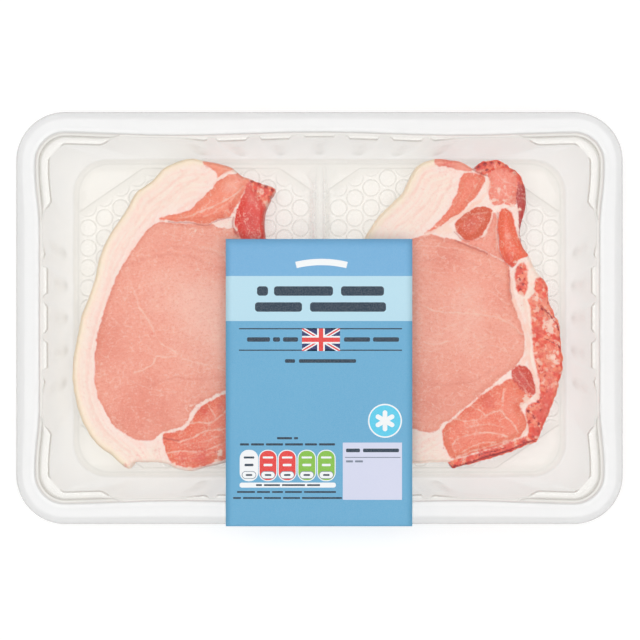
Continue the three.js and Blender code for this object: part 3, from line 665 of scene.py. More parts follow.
class Shader:
    """Builds the nodes of one material, with coordinates in millimetres."""

    def __init__(self, name):
        self.material = bpy.data.materials.new(name)
        self.material.use_nodes = True
        self.nodes = self.material.node_tree.nodes
        self.links = self.material.node_tree.links
        self.surface = next(n for n in self.nodes if n.type == "BSDF_PRINCIPLED")
        place = self.nodes.new("ShaderNodeTexCoord")
        self.place = self.scale(place.outputs["Object"], 1 / MM)

    def feed(self, socket, value):
        """Sets a socket to a constant, or links it to an output."""
        if isinstance(value, bpy.types.NodeSocket):
            self.links.new(value, socket)
        elif hasattr(value, "__len__"):
            values = tuple(float(v) for v in value)
            socket.default_value = values + (1.0,) if socket.type == "RGBA" else values
        else:
            socket.default_value = value

    def stored(self, name, output):
        """What the mesh stores under a name."""
        node = self.nodes.new("ShaderNodeAttribute")
        node.attribute_name = name
        return node.outputs[output]

    def value(self, name):
        """A number stored on the mesh."""
        return self.stored(name, "Fac")

    def colour(self, name):
        """A colour stored on the mesh."""
        return self.stored(name, "Color")

    def scale(self, vector, share):
        """A vector made longer or shorter."""
        node = self.nodes.new("ShaderNodeVectorMath")
        node.operation = "SCALE"
        node.inputs["Scale"].default_value = share
        self.links.new(vector, node.inputs[0])
        return node.outputs[0]

    def noise(self, scale, detail=2.0, twist=0.0, place=None, stretch=(1, 1, 1)):
        """Noise from 0 to 1, in waves for each millimetre of the mesh or of other coordinates."""
        mapping = self.nodes.new("ShaderNodeMapping")
        mapping.inputs["Scale"].default_value = stretch
        mapping.inputs["Rotation"].default_value = (0, 0, twist)
        self.links.new(self.place if place is None else place, mapping.inputs["Vector"])
        node = self.nodes.new("ShaderNodeTexNoise")
        node.inputs["Scale"].default_value = scale
        node.inputs["Detail"].default_value = detail
        self.links.new(mapping.outputs[0], node.inputs["Vector"])
        return node.outputs["Fac"]

    def join(self, first, place):
        """Coordinates with a number in place of the first one, beside a place's other two."""
        apart = self.nodes.new("ShaderNodeSeparateXYZ")
        self.links.new(place, apart.inputs[0])
        node = self.nodes.new("ShaderNodeCombineXYZ")
        self.feed(node.inputs[0], first)
        self.links.new(apart.outputs[0], node.inputs[1])
        self.links.new(apart.outputs[1], node.inputs[2])
        return node.outputs[0]

    def math(self, operation, first, second=0.0):
        """One step of arithmetic."""
        node = self.nodes.new("ShaderNodeMath")
        node.operation = operation
        self.feed(node.inputs[0], first)
        self.feed(node.inputs[1], second)
        return node.outputs[0]

    def ramp(self, value, low, high, start=0.0, end=1.0):
        """A smooth change from start to end as the value goes from low to high."""
        node = self.nodes.new("ShaderNodeMapRange")
        node.interpolation_type = "SMOOTHSTEP"
        self.feed(node.inputs["Value"], value)
        limits = {"From Min": low, "From Max": high, "To Min": start, "To Max": end}
        for key, number in limits.items():
            node.inputs[key].default_value = number
        return node.outputs["Result"]

    def mix(self, share, first, second, blend="MIX"):
        """A blend of two colours."""
        node = self.nodes.new("ShaderNodeMix")
        node.data_type = "RGBA"
        node.blend_type = blend
        self.feed(node.inputs[0], share)
        self.feed(node.inputs[6], first)
        self.feed(node.inputs[7], second)
        return node.outputs[2]

    def distance(self, across, along):
        """Length of a step across and a step along."""
        squares = [self.math("POWER", step, 2) for step in (across, along)]
        return self.math("SQRT", self.math("ADD", *squares))

    def swing(self, value, amount):
        """A value between 0 and 1 as a swing to both sides of nought."""
        return self.math("MULTIPLY", self.math("SUBTRACT", value, 0.5), amount)

    def darker(self, colour, tint=(0.90, 0.68, 0.65)):
        """The colour with a darker tint laid over it."""
        return self.mix(1.0, colour, tint, "MULTIPLY")

    def bump(self, height, distance, strength=1.0):
        """Small relief, with its height in millimetres."""
        node = self.nodes.new("ShaderNodeBump")
        node.inputs["Distance"].default_value = distance * MM
        node.inputs["Strength"].default_value = strength
        self.feed(node.inputs["Height"], height)
        self.links.new(node.outputs[0], self.surface.inputs["Normal"])

    def set(self, **values):
        """Sets the surface's inputs, named with underscores for spaces."""
        for name, value in values.items():
            self.feed(self.surface.inputs[name.replace("_", " ")], value)


def screen_colour(name, description, colour):
    """A colour setting whose default is a screen colour."""
    return FloatVectorProperty(
        name=name, description=description, subtype="COLOR", size=3, min=0, max=1,
        default=tuple(float(v) for v in linear(colour)),
    )


def length_setting(name, description, default):
    """A length setting in metres whose default is given in millimetres."""
    return FloatProperty(
        name=name, description=description, default=default * MM, unit="LENGTH", min=0,
        precision=5,
    )


class ChopPackSizes(bpy.types.PropertyGroup):
    """Sizes that can be changed without changing the pack's outer box."""

    tray_wall: length_setting("Tray wall", "Thickness of the clear tray", 0.45)
    film: length_setting("Film", "Thickness of the clear lid film", 0.06)
    label: length_setting("Label", "Thickness of the label paper", 0.14)
    dimple: length_setting("Dimple height", "Height of the floor's dimples", 0.22)
    meat_step: length_setting("Meat step", "Spacing of the points on the cut meat", 0.68)
    rim_round: length_setting("Meat edge", "Rounding of the cut meat's edge", 2.2)


class ChopPackColours(bpy.types.PropertyGroup):
    """Colours of the meat, the plastic and the print."""

    fat: screen_colour("Fat", "Fat next to the lean", (255, 229, 218))
    outer_fat: screen_colour("Outer fat", "Fat next to the rind", (255, 232, 217))
    rind: screen_colour("Rind", "Skin at the outer edge", (248, 226, 196))
    vein: screen_colour("Seam", "Seams and veins in the lean", (252, 204, 184))
    bone: screen_colour("Bone", "Cut bone and red tissue", (242, 82, 56))
    blood: screen_colour("Blood", "Dark red in the bone and the creases", (136, 10, 14))
    plastic: screen_colour("Plastic", "Haze of the clear tray's rim", (233, 233, 233))
    # Painted shade: the grey laid on the tray at its bends, round its dimples and where it is seen
    # edge on
    plastic_edge: screen_colour("Plastic edge", "Clear tray seen edge on", (126, 119, 98))
    label_blue: screen_colour("Label blue", "Main field of the label", (103, 175, 214))
    label_top: screen_colour("Label top", "Top field of the label", (115, 179, 223))
    label_pale: screen_colour("Label band", "Pale band of the label", (190, 228, 243))
    ink: screen_colour("Ink", "Dark print", (12, 48, 70))


def sizes():
    """The pack's sizes."""
    return bpy.context.scene.chop_pack_sizes


def colours():
    """The pack's colours."""
    return bpy.context.scene.chop_pack_colours


def in_mm(length):
    """Millimetres of a length setting."""
    return length / MM


# Meat


def waver(points, amount, scale, seed):
    """Points moved a little by smooth noise."""
    flat = on_plane(points)
    shift = np.column_stack([field_noise(flat, scale, seed), field_noise(flat, scale, seed + 1)])
    return points + amount * shift


def natural_line(control, closed, height):
    """A drawn line with the small unevenness of grown tissue."""
    path = smooth_line(photo_points(control, height), closed, 0.6)
    return waver(waver(path, 0.55, 0.13, 21), 0.22, 0.5, 31)


def line_field(points, paths):
    """Distance to the nearest of several lines, less each line's half width."""
    nearest = np.full(len(points), 50.0)
    for half, path in paths:
        nearest = np.minimum(nearest, line_distance(points, path) - half)
    return nearest


def spot_glows(points, spots, height):
    """How strongly each soft round spot shows at each point, spot by spot."""
    for x, y, radius, strength in spots:
        gap = points - np.array(photo_point(x, y, height))
        size = radius * PIXEL_AT_RIM
        yield strength * np.exp(-np.einsum("ij,ij->i", gap, gap) / size**2)


def spot_field(points, spots, height):
    """Soft round spots, of which the strongest shows."""
    total = np.zeros(len(points))
    for glow in spot_glows(points, spots, height):
        total = np.maximum(total, glow)
    return total


def shade_field(points, spots, height):
    """Broad darker and lighter areas, added together: partly the lean's own uneven tone, partly
    painted shade and painted light.
    """
    total = np.zeros(len(points))
    for glow in spot_glows(points, spots, height):
        total += glow
    return total


def meat_lines(plan, height):
    """The seams, creases and other lines of a chop, as drawn paths with half widths."""
    lines = {
        name: [(half, natural_line(control, False, height)) for half, control in plan[name]]
        for name in ("seams", "faint_seams", "creases", "dusky_lines", "blood_lines")
    }
    lines["fat_lines"] = [
        (FAT_LINE_HALF, natural_line(control, False, height)) for control in plan["fat_lines"]
    ]
    return lines


def meat_fields(plan, lines, points, outline, height):
    """What the meat is at each place of the cut: lean, fat, bone, seams and stains."""
    lean = np.full(len(points), -50.0)
    tone = np.zeros((len(points), 3))
    swell = np.zeros(len(points))
    grain = np.zeros((len(points), 3))
    for name, rise, turn, control in plan["muscles"]:
        depth = depth_in(points, natural_line(control, True, height))
        nearer = depth > lean
        lean = np.where(nearer, depth, lean)
        tone[nearer] = linear(TONES[name])
        swell = np.where(nearer, rise, swell)
        cos, sin = math.cos(math.radians(turn)), math.sin(math.radians(turn))
        along = points @ np.array([cos, sin])
        across = points @ np.array([-sin, cos])
        grain[nearer] = np.column_stack([along, across, np.full(len(points), rise * 9)])[nearer]
    rind = smooth_line(photo_points(plan["rind"], height), False, 1.0)
    bone = np.full(len(points), -50.0)
    for control in plan["bones"]:
        bone = np.maximum(bone, depth_in(points, natural_line(control, True, height)))
    blood = spot_field(points, plan["blood"], height)
    for half, path in lines["blood_lines"]:
        blood = np.maximum(blood, np.exp(-(line_distance(points, path) / half) ** 2))
    return {
        "lean": lean,
        "tone": tone,
        "swell": swell,
        "grain": grain,
        "bone": bone,
        "seam": line_field(points, lines["seams"]),
        "faint_seam": line_field(points, lines["faint_seams"]),
        "crease": line_field(points, lines["creases"]),
        "dusky": line_field(points, lines["dusky_lines"]),
        "fat_line": line_field(points, lines["fat_lines"]),
        "blood": blood,
        "red": spot_field(points, plan["red"], height),
        "pale": spot_field(points, plan["pale"], height),
        "shade": shade_field(points, plan["shade"], height),
        "rim": line_distance(points, outline, closed=True),
        "rind": line_distance(points, rind),
    }


def ragged_outline(plan, height, spacing):
    """The chop's outline, slightly uneven, and rougher where it is bone."""
    outline = smooth_line(photo_points(plan["outline"], height), True, spacing)
    along = np.roll(outline, -1, axis=0) - np.roll(outline, 1, axis=0)
    outward = np.column_stack([along[:, 1], -along[:, 0]])
    outward /= np.linalg.norm(outward, axis=1)[:, None]
    outward *= np.sign(signed_area(outline))
    rough = np.zeros(len(outline))
    for control in plan["bones"]:
        rough = np.maximum(rough, ease(depth_in(outline, photo_points(control, height)), -1.0, 2.0))
    flat = on_plane(outline)
    shift = 0.22 * field_noise(flat, 0.22, 3) + 0.55 * rough * field_noise(flat, 0.45, 5)
    return outline + outward * (shift - 0.1)[:, None], outward


def meat_relief(fields, points):
    """Rise of the cut's surface: muscles swell, seams and creases sink, bone is rough."""
    flat = on_plane(points)
    swell = fields["swell"] * ease(fields["lean"], -0.4, 3.2)
    waves = 0.35 * field_noise(flat, 0.06, 1) + 0.10 * field_noise(flat, 0.35, 2)
    crease = -0.3 * np.exp(-np.clip(fields["crease"], 0, 9) ** 2 / 0.5)
    vein = -0.12 * np.exp(-np.clip(fields["seam"], 0, 9) ** 2 / 0.3)
    bony = ease(fields["bone"], -0.5, 1.2) * (
        0.55 * field_noise(flat, 0.28, 6) + 0.45 * field_noise(flat, 0.75, 7, 3) - 0.2
    )
    return swell + waves + crease + vein + bony - 0.9


def cut_points(lines, outline, step):
    """Loose points of the cut face: a shaken lattice, and rows along each drawn line."""
    loose = lattice(outline.min(axis=0), outline.max(axis=0), step)
    rng = np.random.default_rng(MEAT_SHAKE_SEED)
    loose += rng.uniform(-0.12, 0.12, loose.shape) * step
    clearance = 0.55 * step
    drawn = [path for name in ("seams", "faint_seams", "creases") for _, path in lines[name]]
    near_line = np.min([line_distance(loose, path) for path in drawn], axis=0)
    rows = [loose[near_line > clearance]]
    for path in drawn:
        along = np.gradient(path, axis=0)
        across = np.column_stack([-along[:, 1], along[:, 0]])
        normal = across / np.linalg.norm(along, axis=1)[:, None]
        rows += [path, path + LINE_SIDE_GAP * normal, path - LINE_SIDE_GAP * normal]
    loose = np.vstack(rows)
    return loose[depth_in(loose, outline) > clearance]


def side_rings(outline, outward, rounding):
    """Rings down a chop's side, from under its rounded edge to its flat underside."""
    top, bottom = CHOP_HIGH[2], CHOP_LOW[2]
    levels = np.linspace(top - rounding, bottom + LOW_ROUNDING, 10)[1:]
    profile = [(0.0, z) for z in levels]
    profile += [
        (LOW_ROUNDING * (1 - math.cos(a)), bottom + LOW_ROUNDING * (1 - math.sin(a)))
        for a in np.linspace(0, math.pi / 2, 5)[1:]
    ]
    rings = []
    for inset, z in profile:
        ring = outline - outward * inset
        bulge = 0.35 * field_noise(np.column_stack([ring, np.full(len(ring), z)]), 0.12, 9)
        ring = ring + outward * (bulge * min(1.0, (top - z) / 6))[:, None]
        rings.append(np.column_stack([ring, np.full(len(ring), max(z, bottom))]))
    return rings


def build_meat(name, plan, material):
    """One chop: an uneven cut face, a rounded edge, rough sides and a flat underside."""
    step = in_mm(sizes().meat_step)
    rounding = in_mm(sizes().rim_round)
    top = CHOP_HIGH[2]
    outline, outward = ragged_outline(plan, top, step)
    lines = meat_lines(plan, top)
    flat, triangles = fill_outline(outline, cut_points(lines, outline, step))
    fields = meat_fields(plan, lines, flat, outline, top)
    edge = np.clip(rounding - fields["rim"], 0, rounding)
    drop = rounding - np.sqrt(rounding**2 - edge**2)
    rise = meat_relief(fields, flat) * ease(fields["rim"], -1, 4)
    face = np.column_stack([flat, top + rise - drop])
    rings = side_rings(outline, outward, rounding)
    lowest = rings[-1][:, :2]
    under, under_triangles = fill_outline(lowest, np.empty((0, 2)))
    count, first = len(outline), len(face)
    if not np.allclose(under[:count], lowest, atol=1e-4):
        raise RuntimeError(f"{name}: the underside doesn't match its edge")
    order = np.arange(count)
    above, walls = order, []
    for level in range(len(rings)):
        below = first + level * count + order
        walls.append(np.column_stack([above, below, np.roll(below, -1), np.roll(above, -1)]))
        above = below
    base = under_triangles[:, ::-1] + first + (len(rings) - 1) * count
    points = np.vstack([face] + rings)
    faces = [tuple(f) for part in (triangles, np.vstack(walls), base) for f in part]
    piece = make_object(name, points, faces, [material])
    side_fields = meat_fields(plan, lines, points[first:, :2], outline, top)
    for key in fields:
        if key != "swell":
            add_values(piece, key, np.concatenate([fields[key], side_fields[key]]))
    return piece


def lean_colour(s, c, fibre, fleck, speckle, wobble):
    """Lean in its muscle's tone, clouded, fibred and flecked, and darker at its edge, with painted
    shade and painted light from the shade spots.
    """
    tone = s.colour("tone")
    # Painted shade and painted light: the shade spots darken the lean where positive and lighten it
    # where negative, on top of its own clouded tone.
    cloud = s.math("ADD", s.value("shade"), s.swing(s.noise(0.06, 3), 1.6))
    lean = s.mix(s.ramp(cloud, 0.0, 1.0), tone, s.darker(tone, (0.93, 0.76, 0.72)))
    lean = s.mix(s.ramp(cloud, 0.0, -1.0, 0.0, 0.55), lean, linear((255, 206, 188)))
    lean = s.mix(s.ramp(fibre, 0.55, 0.30, 0.0, 0.26), lean, s.darker(lean))
    lean = s.mix(s.ramp(fibre, 0.55, 0.78, 0.0, 0.26), lean, linear((254, 204, 186)))
    lean = s.mix(s.ramp(fleck, 0.55, 0.70, 0.0, 0.34), lean, c.vein)
    lean = s.mix(s.ramp(fleck, 0.46, 0.32, 0.0, 0.40), lean, s.darker(lean))
    lean = s.mix(s.ramp(speckle, 0.44, 0.28, 0.0, 0.50), lean, s.darker(lean))
    lean = s.mix(s.ramp(speckle, 0.56, 0.72, 0.0, 0.16), lean, c.vein)
    depth = s.math("ADD", s.value("lean"), wobble)
    lean = s.mix(s.ramp(depth, 0.0, 1.3, 0.45, 0.0), lean, s.darker(lean))
    dusky = s.ramp(s.math("ADD", s.value("dusky"), wobble), 0.9, -0.3, 0.0, 0.36)
    return s.mix(dusky, lean, s.darker(lean, (0.86, 0.62, 0.58)))


def fat_colour(s, c, speckle, wobble):
    """Fat in soft layers beside the rind, pinker beside the lean, with the skin at its edge."""
    layers = s.join(s.value("rind"), s.scale(s.place, 0.05))
    streak = s.noise(1.0, 3, place=layers, stretch=(0.75, 1, 1))
    fat = s.mix(s.ramp(s.value("lean"), -5.5, -0.8), c.outer_fat, c.fat)
    fat = s.mix(s.ramp(streak, 0.42, 0.66, 0.0, 0.40), fat, linear((255, 210, 196)))
    line = s.math("ADD", s.value("fat_line"), wobble)
    fat = s.mix(s.ramp(line, 0.9, 0.0, 0.0, 0.24), fat, linear((244, 176, 156)))
    fat = s.mix(s.ramp(speckle, 0.54, 0.70, 0.0, 0.35), fat, linear((255, 242, 230)))
    fat = s.mix(s.ramp(speckle, 0.44, 0.32, 0.0, 0.30), fat, linear((252, 200, 184)))
    edge = s.math("ADD", s.value("rind"), wobble)
    fat = s.mix(s.ramp(edge, 4.2, 1.4, 0.0, 0.80), fat, linear((255, 237, 212)))
    return s.mix(s.ramp(edge, 2.0, 0.4, 0.0, 0.90), fat, c.rind)


def bone_colour(s, c, speckle, pits):
    """Sawn bone and torn red tissue, with cream flecks and dark marrow."""
    patches = s.noise(0.13, 2, twist=2.0)
    flecks = s.noise(0.34, 4, twist=1.0)
    bone = s.mix(s.ramp(s.noise(0.42, 4), 0.42, 0.60), c.bone, linear((250, 142, 108)))
    bone = s.mix(s.ramp(patches, 0.50, 0.62, 0.0, 0.65), bone, linear((250, 156, 128)))
    bone = s.mix(s.ramp(patches, 0.46, 0.36, 0.0, 0.55), bone, linear((224, 58, 44)))
    bone = s.mix(s.ramp(flecks, 0.54, 0.64, 0.0, 0.75), bone, linear((254, 204, 182)))
    bone = s.mix(s.ramp(speckle, 0.44, 0.30, 0.0, 0.60), bone, linear((206, 50, 42)))
    return s.mix(s.ramp(pits, 0.62, 0.74, 0.0, 0.45), bone, c.blood)


def meat_material():
    """Raw pork: fibred lean, smooth fat, rind, seams, speckled bone and blood, all moist."""
    c = colours()
    s = Shader("raw_pork")
    ragged, speckle = s.noise(0.9, 3), s.noise(0.75, 4)
    fleck, pits = s.noise(1.3, 3), s.noise(1.25, 3, twist=0.5)
    grain = s.colour("grain")
    fibre = s.noise(0.6, 3, place=grain, stretch=(0.6, 1.7, 1))
    wobble = s.math("ADD", s.swing(ragged, 1.0), s.swing(s.noise(0.30, 3), 1.2))
    lean = lean_colour(s, c, fibre, fleck, speckle, wobble)
    fat = fat_colour(s, c, speckle, wobble)
    marbled = s.math("ABSOLUTE", s.math("SUBTRACT", s.noise(0.13, 4, place=grain), 0.5))
    broken = s.ramp(speckle, 0.42, 0.55)
    marbled = s.math("MULTIPLY", s.ramp(marbled, 0.024, 0.0, 0.0, 0.42), broken)
    lean = s.mix(marbled, lean, c.vein)
    body = s.mix(s.ramp(s.math("ADD", s.value("lean"), wobble), -0.50, 0.30), fat, lean)
    broken = s.ramp(s.noise(0.22, 2), 0.34, 0.58, 0.45, 1.0)
    faint = s.ramp(s.math("ADD", s.value("faint_seam"), wobble), 0.55, -0.35, 0.0, 0.45)
    body = s.mix(s.math("MULTIPLY", faint, broken), body, c.vein)
    seam = s.ramp(s.math("ADD", s.value("seam"), wobble), 0.60, -0.30, 0.0, 0.78)
    body = s.mix(s.math("MULTIPLY", seam, broken), body, c.vein)
    edge = s.math("ADD", s.value("bone"), wobble)
    body = s.mix(s.ramp(edge, -0.5, 0.7), body, bone_colour(s, c, speckle, pits))
    ruddy = s.math("ADD", s.value("red"), s.swing(ragged, 1.1))
    body = s.mix(s.ramp(ruddy, 0.1, 0.9, 0.0, 0.85), body, linear((228, 70, 54)))
    patch = s.math("ADD", s.value("pale"), s.swing(speckle, 1.4))
    body = s.mix(s.ramp(patch, 0.25, 0.65, 0.0, 0.85), body, linear((254, 218, 200)))
    stain = s.math("ADD", s.value("blood"), s.swing(pits, 1.6))
    body = s.mix(s.ramp(stain, 0.20, 0.65, 0.0, 0.7), body, linear((206, 40, 34)))
    body = s.mix(s.ramp(stain, 0.55, 0.88, 0.0, 0.85), body, c.blood)
    # Painted shade: the lean darkened along its creases, on top of their real sunk relief.
    crease = s.math("ADD", s.value("crease"), s.math("MULTIPLY", wobble, 0.5))
    body = s.mix(s.ramp(crease, 0.50, -0.05, 0.0, 0.55), body, linear((186, 66, 50)))
    height = s.math("ADD", s.math("MULTIPLY", fibre, 0.35), s.math("MULTIPLY", fleck, 0.55))
    s.bump(height, 0.22, 0.5)
    s.set(
        Base_Color=body,
        Roughness=s.ramp(ragged, 0.3, 0.7, 0.40, 0.55),
        IOR=1.36,
        Subsurface_Weight=0.08,
        Subsurface_Radius=(1.0, 0.35, 0.22),
        Subsurface_Scale=0.0012,
        Coat_Weight=0.10,
        Coat_Roughness=0.30,
    )
    return s.material


# Tray


def boss_depth(place, bosses, wedge, lobe):
    """How far the ledge reaches into the tray at a place along one side."""
    depth = np.zeros(len(place))
    for centre, outer, inner, reach in bosses:
        share = np.clip((outer - np.abs(place - centre)) / (outer - inner), 0, 1)
        depth = np.maximum(depth, reach * share)
    start, full, end, reach = wedge
    depth = np.maximum(depth, reach * np.interp(place, [start, full, end], [0, 1, 0], 0, 0))
    start, full, reach = lobe
    depth = np.maximum(depth, reach * np.sqrt(np.clip((place - start) / (full - start), 0, 1)))
    return depth


def flute_depth(place, centres):
    """Strength of the soft vertical flutes under the ledge bosses."""
    total = np.zeros(len(place))
    for centre in centres:
        total = np.maximum(total, np.exp(-((place - centre) / 3.6) ** 2))
    return total


def tray_quarter(step):
    """Places round one quarter of the tray, from the middle of a long side to a short side's."""
    corner_x = OPENING_HALF_LENGTH + CORNER_SPREAD - OPENING_CORNER
    wave = SIDE_WAVE * math.cos(2 * math.pi * corner_x / SIDE_WAVE_LENGTH)
    corner_y = OPENING_HALF_WIDTH + wave - OPENING_CORNER
    floor_x, floor_y = FLOOR_HALF_LENGTH - FLOOR_CORNER, FLOOR_HALF_WIDTH - FLOOR_CORNER
    rows = []
    x = np.linspace(0, corner_x, int(corner_x / step) + 1)
    rows.append(np.column_stack([
        np.zeros_like(x), np.ones_like(x), x,
        OPENING_HALF_WIDTH + SIDE_WAVE * np.cos(2 * math.pi * x / SIDE_WAVE_LENGTH),
        x, np.full_like(x, HALF_WIDTH), x * floor_x / corner_x, np.full_like(x, FLOOR_HALF_WIDTH),
        boss_depth(x, LONG_BOSSES, LONG_WEDGE, LONG_LOBE), flute_depth(x, LONG_FLUTES),
        ease(x, 84.0, 92.0), np.ones_like(x),
    ]))
    angle = np.linspace(math.pi / 2, 0, 20)[1:-1]
    normal_x, normal_y = np.cos(angle), np.sin(angle)
    gap = np.abs(angle - math.pi / 4) / (math.pi / 4)
    rows.append(np.column_stack([
        normal_x, normal_y,
        corner_x + OPENING_CORNER * normal_x, corner_y + OPENING_CORNER * normal_y,
        HALF_LENGTH - FLANGE_CORNER * (1 - normal_x), HALF_WIDTH - FLANGE_CORNER * (1 - normal_y),
        floor_x + FLOOR_CORNER * normal_x, floor_y + FLOOR_CORNER * normal_y,
        np.interp(angle, [0, math.pi / 2], [SHORT_LOBE[2], LONG_LOBE[2]])
        + CORNER_PAD * (1 - ease(gap, 0.2, 0.9)), np.zeros_like(angle), np.ones_like(angle),
        ease(gap, 0.45, 0.85),
    ]))
    y = np.linspace(corner_y, 0, int(corner_y / step) + 1)
    rows.append(np.column_stack([
        np.ones_like(y), np.zeros_like(y),
        OPENING_HALF_LENGTH + CORNER_SPREAD * ease(y, 39.0, 65.0), y,
        np.full_like(y, HALF_LENGTH), y, np.full_like(y, FLOOR_HALF_LENGTH), y * floor_y / corner_y,
        boss_depth(y, SHORT_BOSSES, SHORT_WEDGE, SHORT_LOBE), flute_depth(y, SHORT_FLUTES),
        ease(y, 40.0, 47.0), np.ones_like(y),
    ]))
    return np.vstack(rows)


def tray_samples(step):
    """Places round the whole tray, counterclockwise seen from above."""
    quarter = tray_quarter(step)
    turned = []
    for side_x, side_y, backwards in ((1, 1, True), (-1, 1, False), (-1, -1, True), (1, -1, False)):
        part = quarter[::-1].copy() if backwards else quarter.copy()
        part[:, [0, 2, 4, 6]] *= side_x
        part[:, [1, 3, 5, 7]] *= side_y
        turned.append(part[:-1])
    samples = np.vstack(turned)
    return {
        "normal": samples[:, 0:2], "opening": samples[:, 2:4], "flange": samples[:, 4:6],
        "floor": samples[:, 6:8], "depth": samples[:, 8], "flute": samples[:, 9],
        "step": samples[:, 10], "sharp": samples[:, 11],
    }


def tray_rings(around):
    """Rings of the tray's upper skin from the flange's edge to the foot, with their marks.

    Each ring is a line, its heights, and how much painted shade it has at a bend and painted
    highlight at a glint.
    """
    normal, opening, flange = around["normal"], around["opening"], around["flange"]
    step, flute = around["step"], around["flute"]
    tread = STEP_WIDTH * step
    reach = np.maximum(around["depth"], tread + 1.2)
    pad = ease(around["depth"] - tread, 0.6, 2.0)
    shown = pad * around["sharp"]
    wall_shade = WALL_SHADE * (1 - pad)
    foot_of_step = 0.35 + tread
    width = reach - foot_of_step

    def at(inward):
        """The line that runs this far inside the opening."""
        return opening - normal * np.broadcast_to(inward, step.shape)[:, None]

    def back_from_edge(most, share):
        """The line short of the ledge's edge, nearer where the ledge is narrow."""
        return at(reach - np.minimum(most, share * width))

    # Painted shade darkens the flange's cut edge, the opening line, the step's foot and the ledge's
    # edge, and painted highlights brighten the rim beside the opening, the step's tread and the
    # ledge.
    rings = [
        (flange, RIM_Z - 1.0, 0.30, 0), (flange - normal * 0.1, RIM_Z - 0.3, 0.15, 0),
        (flange - normal * 0.45, RIM_Z, 0, 0), (opening + (flange - opening) * 0.6, RIM_Z, 0, 0),
        (at(-2.4), RIM_Z, 0, 0), (at(-0.9), RIM_Z, 0, 0.10), (at(-0.30), RIM_Z - 0.04, 0.03, 0.10),
        (at(0.0), RIM_Z - 0.35, 0.30, 0), (at(0.17), STEP_Z + 0.35, 0.03, 0.20),
        (at(0.26 + 0.5 * tread), STEP_Z, 0.02, 0.75 * step),
        (at(foot_of_step), STEP_Z - 0.2, 0.36 * step, 0),
        (at(foot_of_step + 0.25 * width), LEDGE_Z + 0.2, wall_shade, 0.1 * pad),
        (at(foot_of_step + 0.50 * width), LEDGE_Z, wall_shade, 0.1 * pad),
        (back_from_edge(0.65, 0.4), LEDGE_Z, wall_shade, 0.15 * shown),
        (back_from_edge(0.30, 0.2), LEDGE_Z - 0.05, wall_shade, 0.30 * shown),
        (at(reach), LEDGE_Z - 0.4, WALL_SHADE + 0.55 * shown, 0),
        (at(reach + 0.30), LEDGE_Z - 1.6, WALL_SHADE, 0),
        (at(reach + 1.0), WALL_TOP_Z, WALL_SHADE, 0),
    ]
    top = rings[-1][0]
    for share in np.linspace(0, 1, 13)[1:]:
        line = top + (around["floor"] - top) * (share * 0.94)
        bulge = math.exp(-((share - 0.60) / 0.26) ** 2)
        # The walls carry painted shade that fades toward the floor; each flute has more painted
        # shade where its bulge peaks and a painted highlight above it.
        flute_shade = 0.12 * flute**2 * math.exp(-((share - 0.60) / 0.12) ** 2)
        dark = WALL_SHADE * (1 - 0.6 * share) + flute_shade
        glint = 0.14 * flute**2 * math.exp(-((share - 0.30) / 0.14) ** 2)
        line = line - normal * (1.35 * bulge * flute)[:, None]
        rings.append((line, WALL_TOP_Z + (WALL_LOW_Z - WALL_TOP_Z) * share, dark, glint))
    foot = rings[-1][0]
    foot_edge = around["floor"] - normal * FOOT_OUTER
    # Faint painted shade round the foot.
    for angle in np.linspace(0, math.pi / 2, 6)[1:]:
        share = 1 - math.cos(angle)
        height = WALL_LOW_Z + (FOOT_Z - WALL_LOW_Z) * math.sin(angle)
        rings.append((foot + (foot_edge - foot) * share, height, 0.05, 0.0))
    rings.append((around["floor"] - normal * FOOT_INNER, FOOT_Z, 0.06, 0))
    rings.append((around["floor"] - normal * FOOT_PANEL, FLOOR_Z, 0.02, 0))
    return rings


def stacked_rings(around):
    """All rings of the tray as points, with the bend and glint of each point."""
    # The bend values are painted shade and the glint values painted highlight.
    points, bend_shade, glint = [], [], []
    for line, z, dark, bright in tray_rings(around):
        points.append(np.column_stack([line, np.full(len(line), z)]))
        bend_shade.append(np.broadcast_to(dark, len(line)))
        glint.append(np.broadcast_to(bright, len(line)))
    return np.vstack(points), np.concatenate(bend_shade), np.concatenate(glint)


def dimple_points():
    """Places of the floor's dimples: their centres, and points that shape each one."""
    turns = np.arange(DIMPLE_RING_POINTS) * math.pi / (DIMPLE_RING_POINTS / 2)
    field = np.array(FIELD_CORNERS)
    centres, points = [], []
    for column in range(DIMPLE_COLUMNS):
        x = DIMPLE_FIRST_X + column * DIMPLE_PITCH_X
        in_step = column % 2 == (0 if column < DIMPLE_TURN_COLUMN else 1)
        for row in DIMPLE_ROWS:
            y = (row + (0.5 if in_step else 0.0)) * DIMPLE_PITCH_Y
            if depth_in(np.array([[x, y]]), field)[0] < DIMPLE_CLEARANCE:
                continue
            centres.append((x, y))
            points.append((x, y))
            for ring, radius in enumerate(DIMPLE_RING_RADII):
                turned = turns + (ring % 2) * math.pi / DIMPLE_RING_POINTS
                points += [(x + radius * math.cos(t), y + radius * math.sin(t)) for t in turned]
    right = np.array(points)
    centres = np.array(centres)
    return np.vstack([right, right * [-1, 1]]), np.vstack([centres, centres * [-1, 1]])


def ridge_share(x, y):
    """How far a place lies up the divider's two ridges, from 0 to 1."""
    across = np.abs(np.abs(x) - RIDGE_CENTRE)
    return (1 - ease(across, 0.7, 2.0)) * (1 - ease(np.abs(y), 60.0, 68.0))


def field_sides(grow):
    """Points along the sides of both dimpled fields, moved outward."""
    lines = []
    for side in (-1, 1):
        corners = np.array(FIELD_CORNERS) * [side, 1]
        centre = corners.mean(axis=0)
        pushed = centre + (corners - centre) * (1 + grow / 50.0)
        for start, end in zip(pushed, np.roll(pushed, -1, axis=0)):
            count = int(np.linalg.norm(end - start) / 1.6)
            lines.append(np.linspace(start, end, count, endpoint=False))
    return np.vstack(lines)


def field_depth(points):
    """Depth of each point inside the nearer dimpled field, negative outside both."""
    field = np.array(FIELD_CORNERS)
    return np.maximum(depth_in(points, field), depth_in(points, field * [-1, 1]))


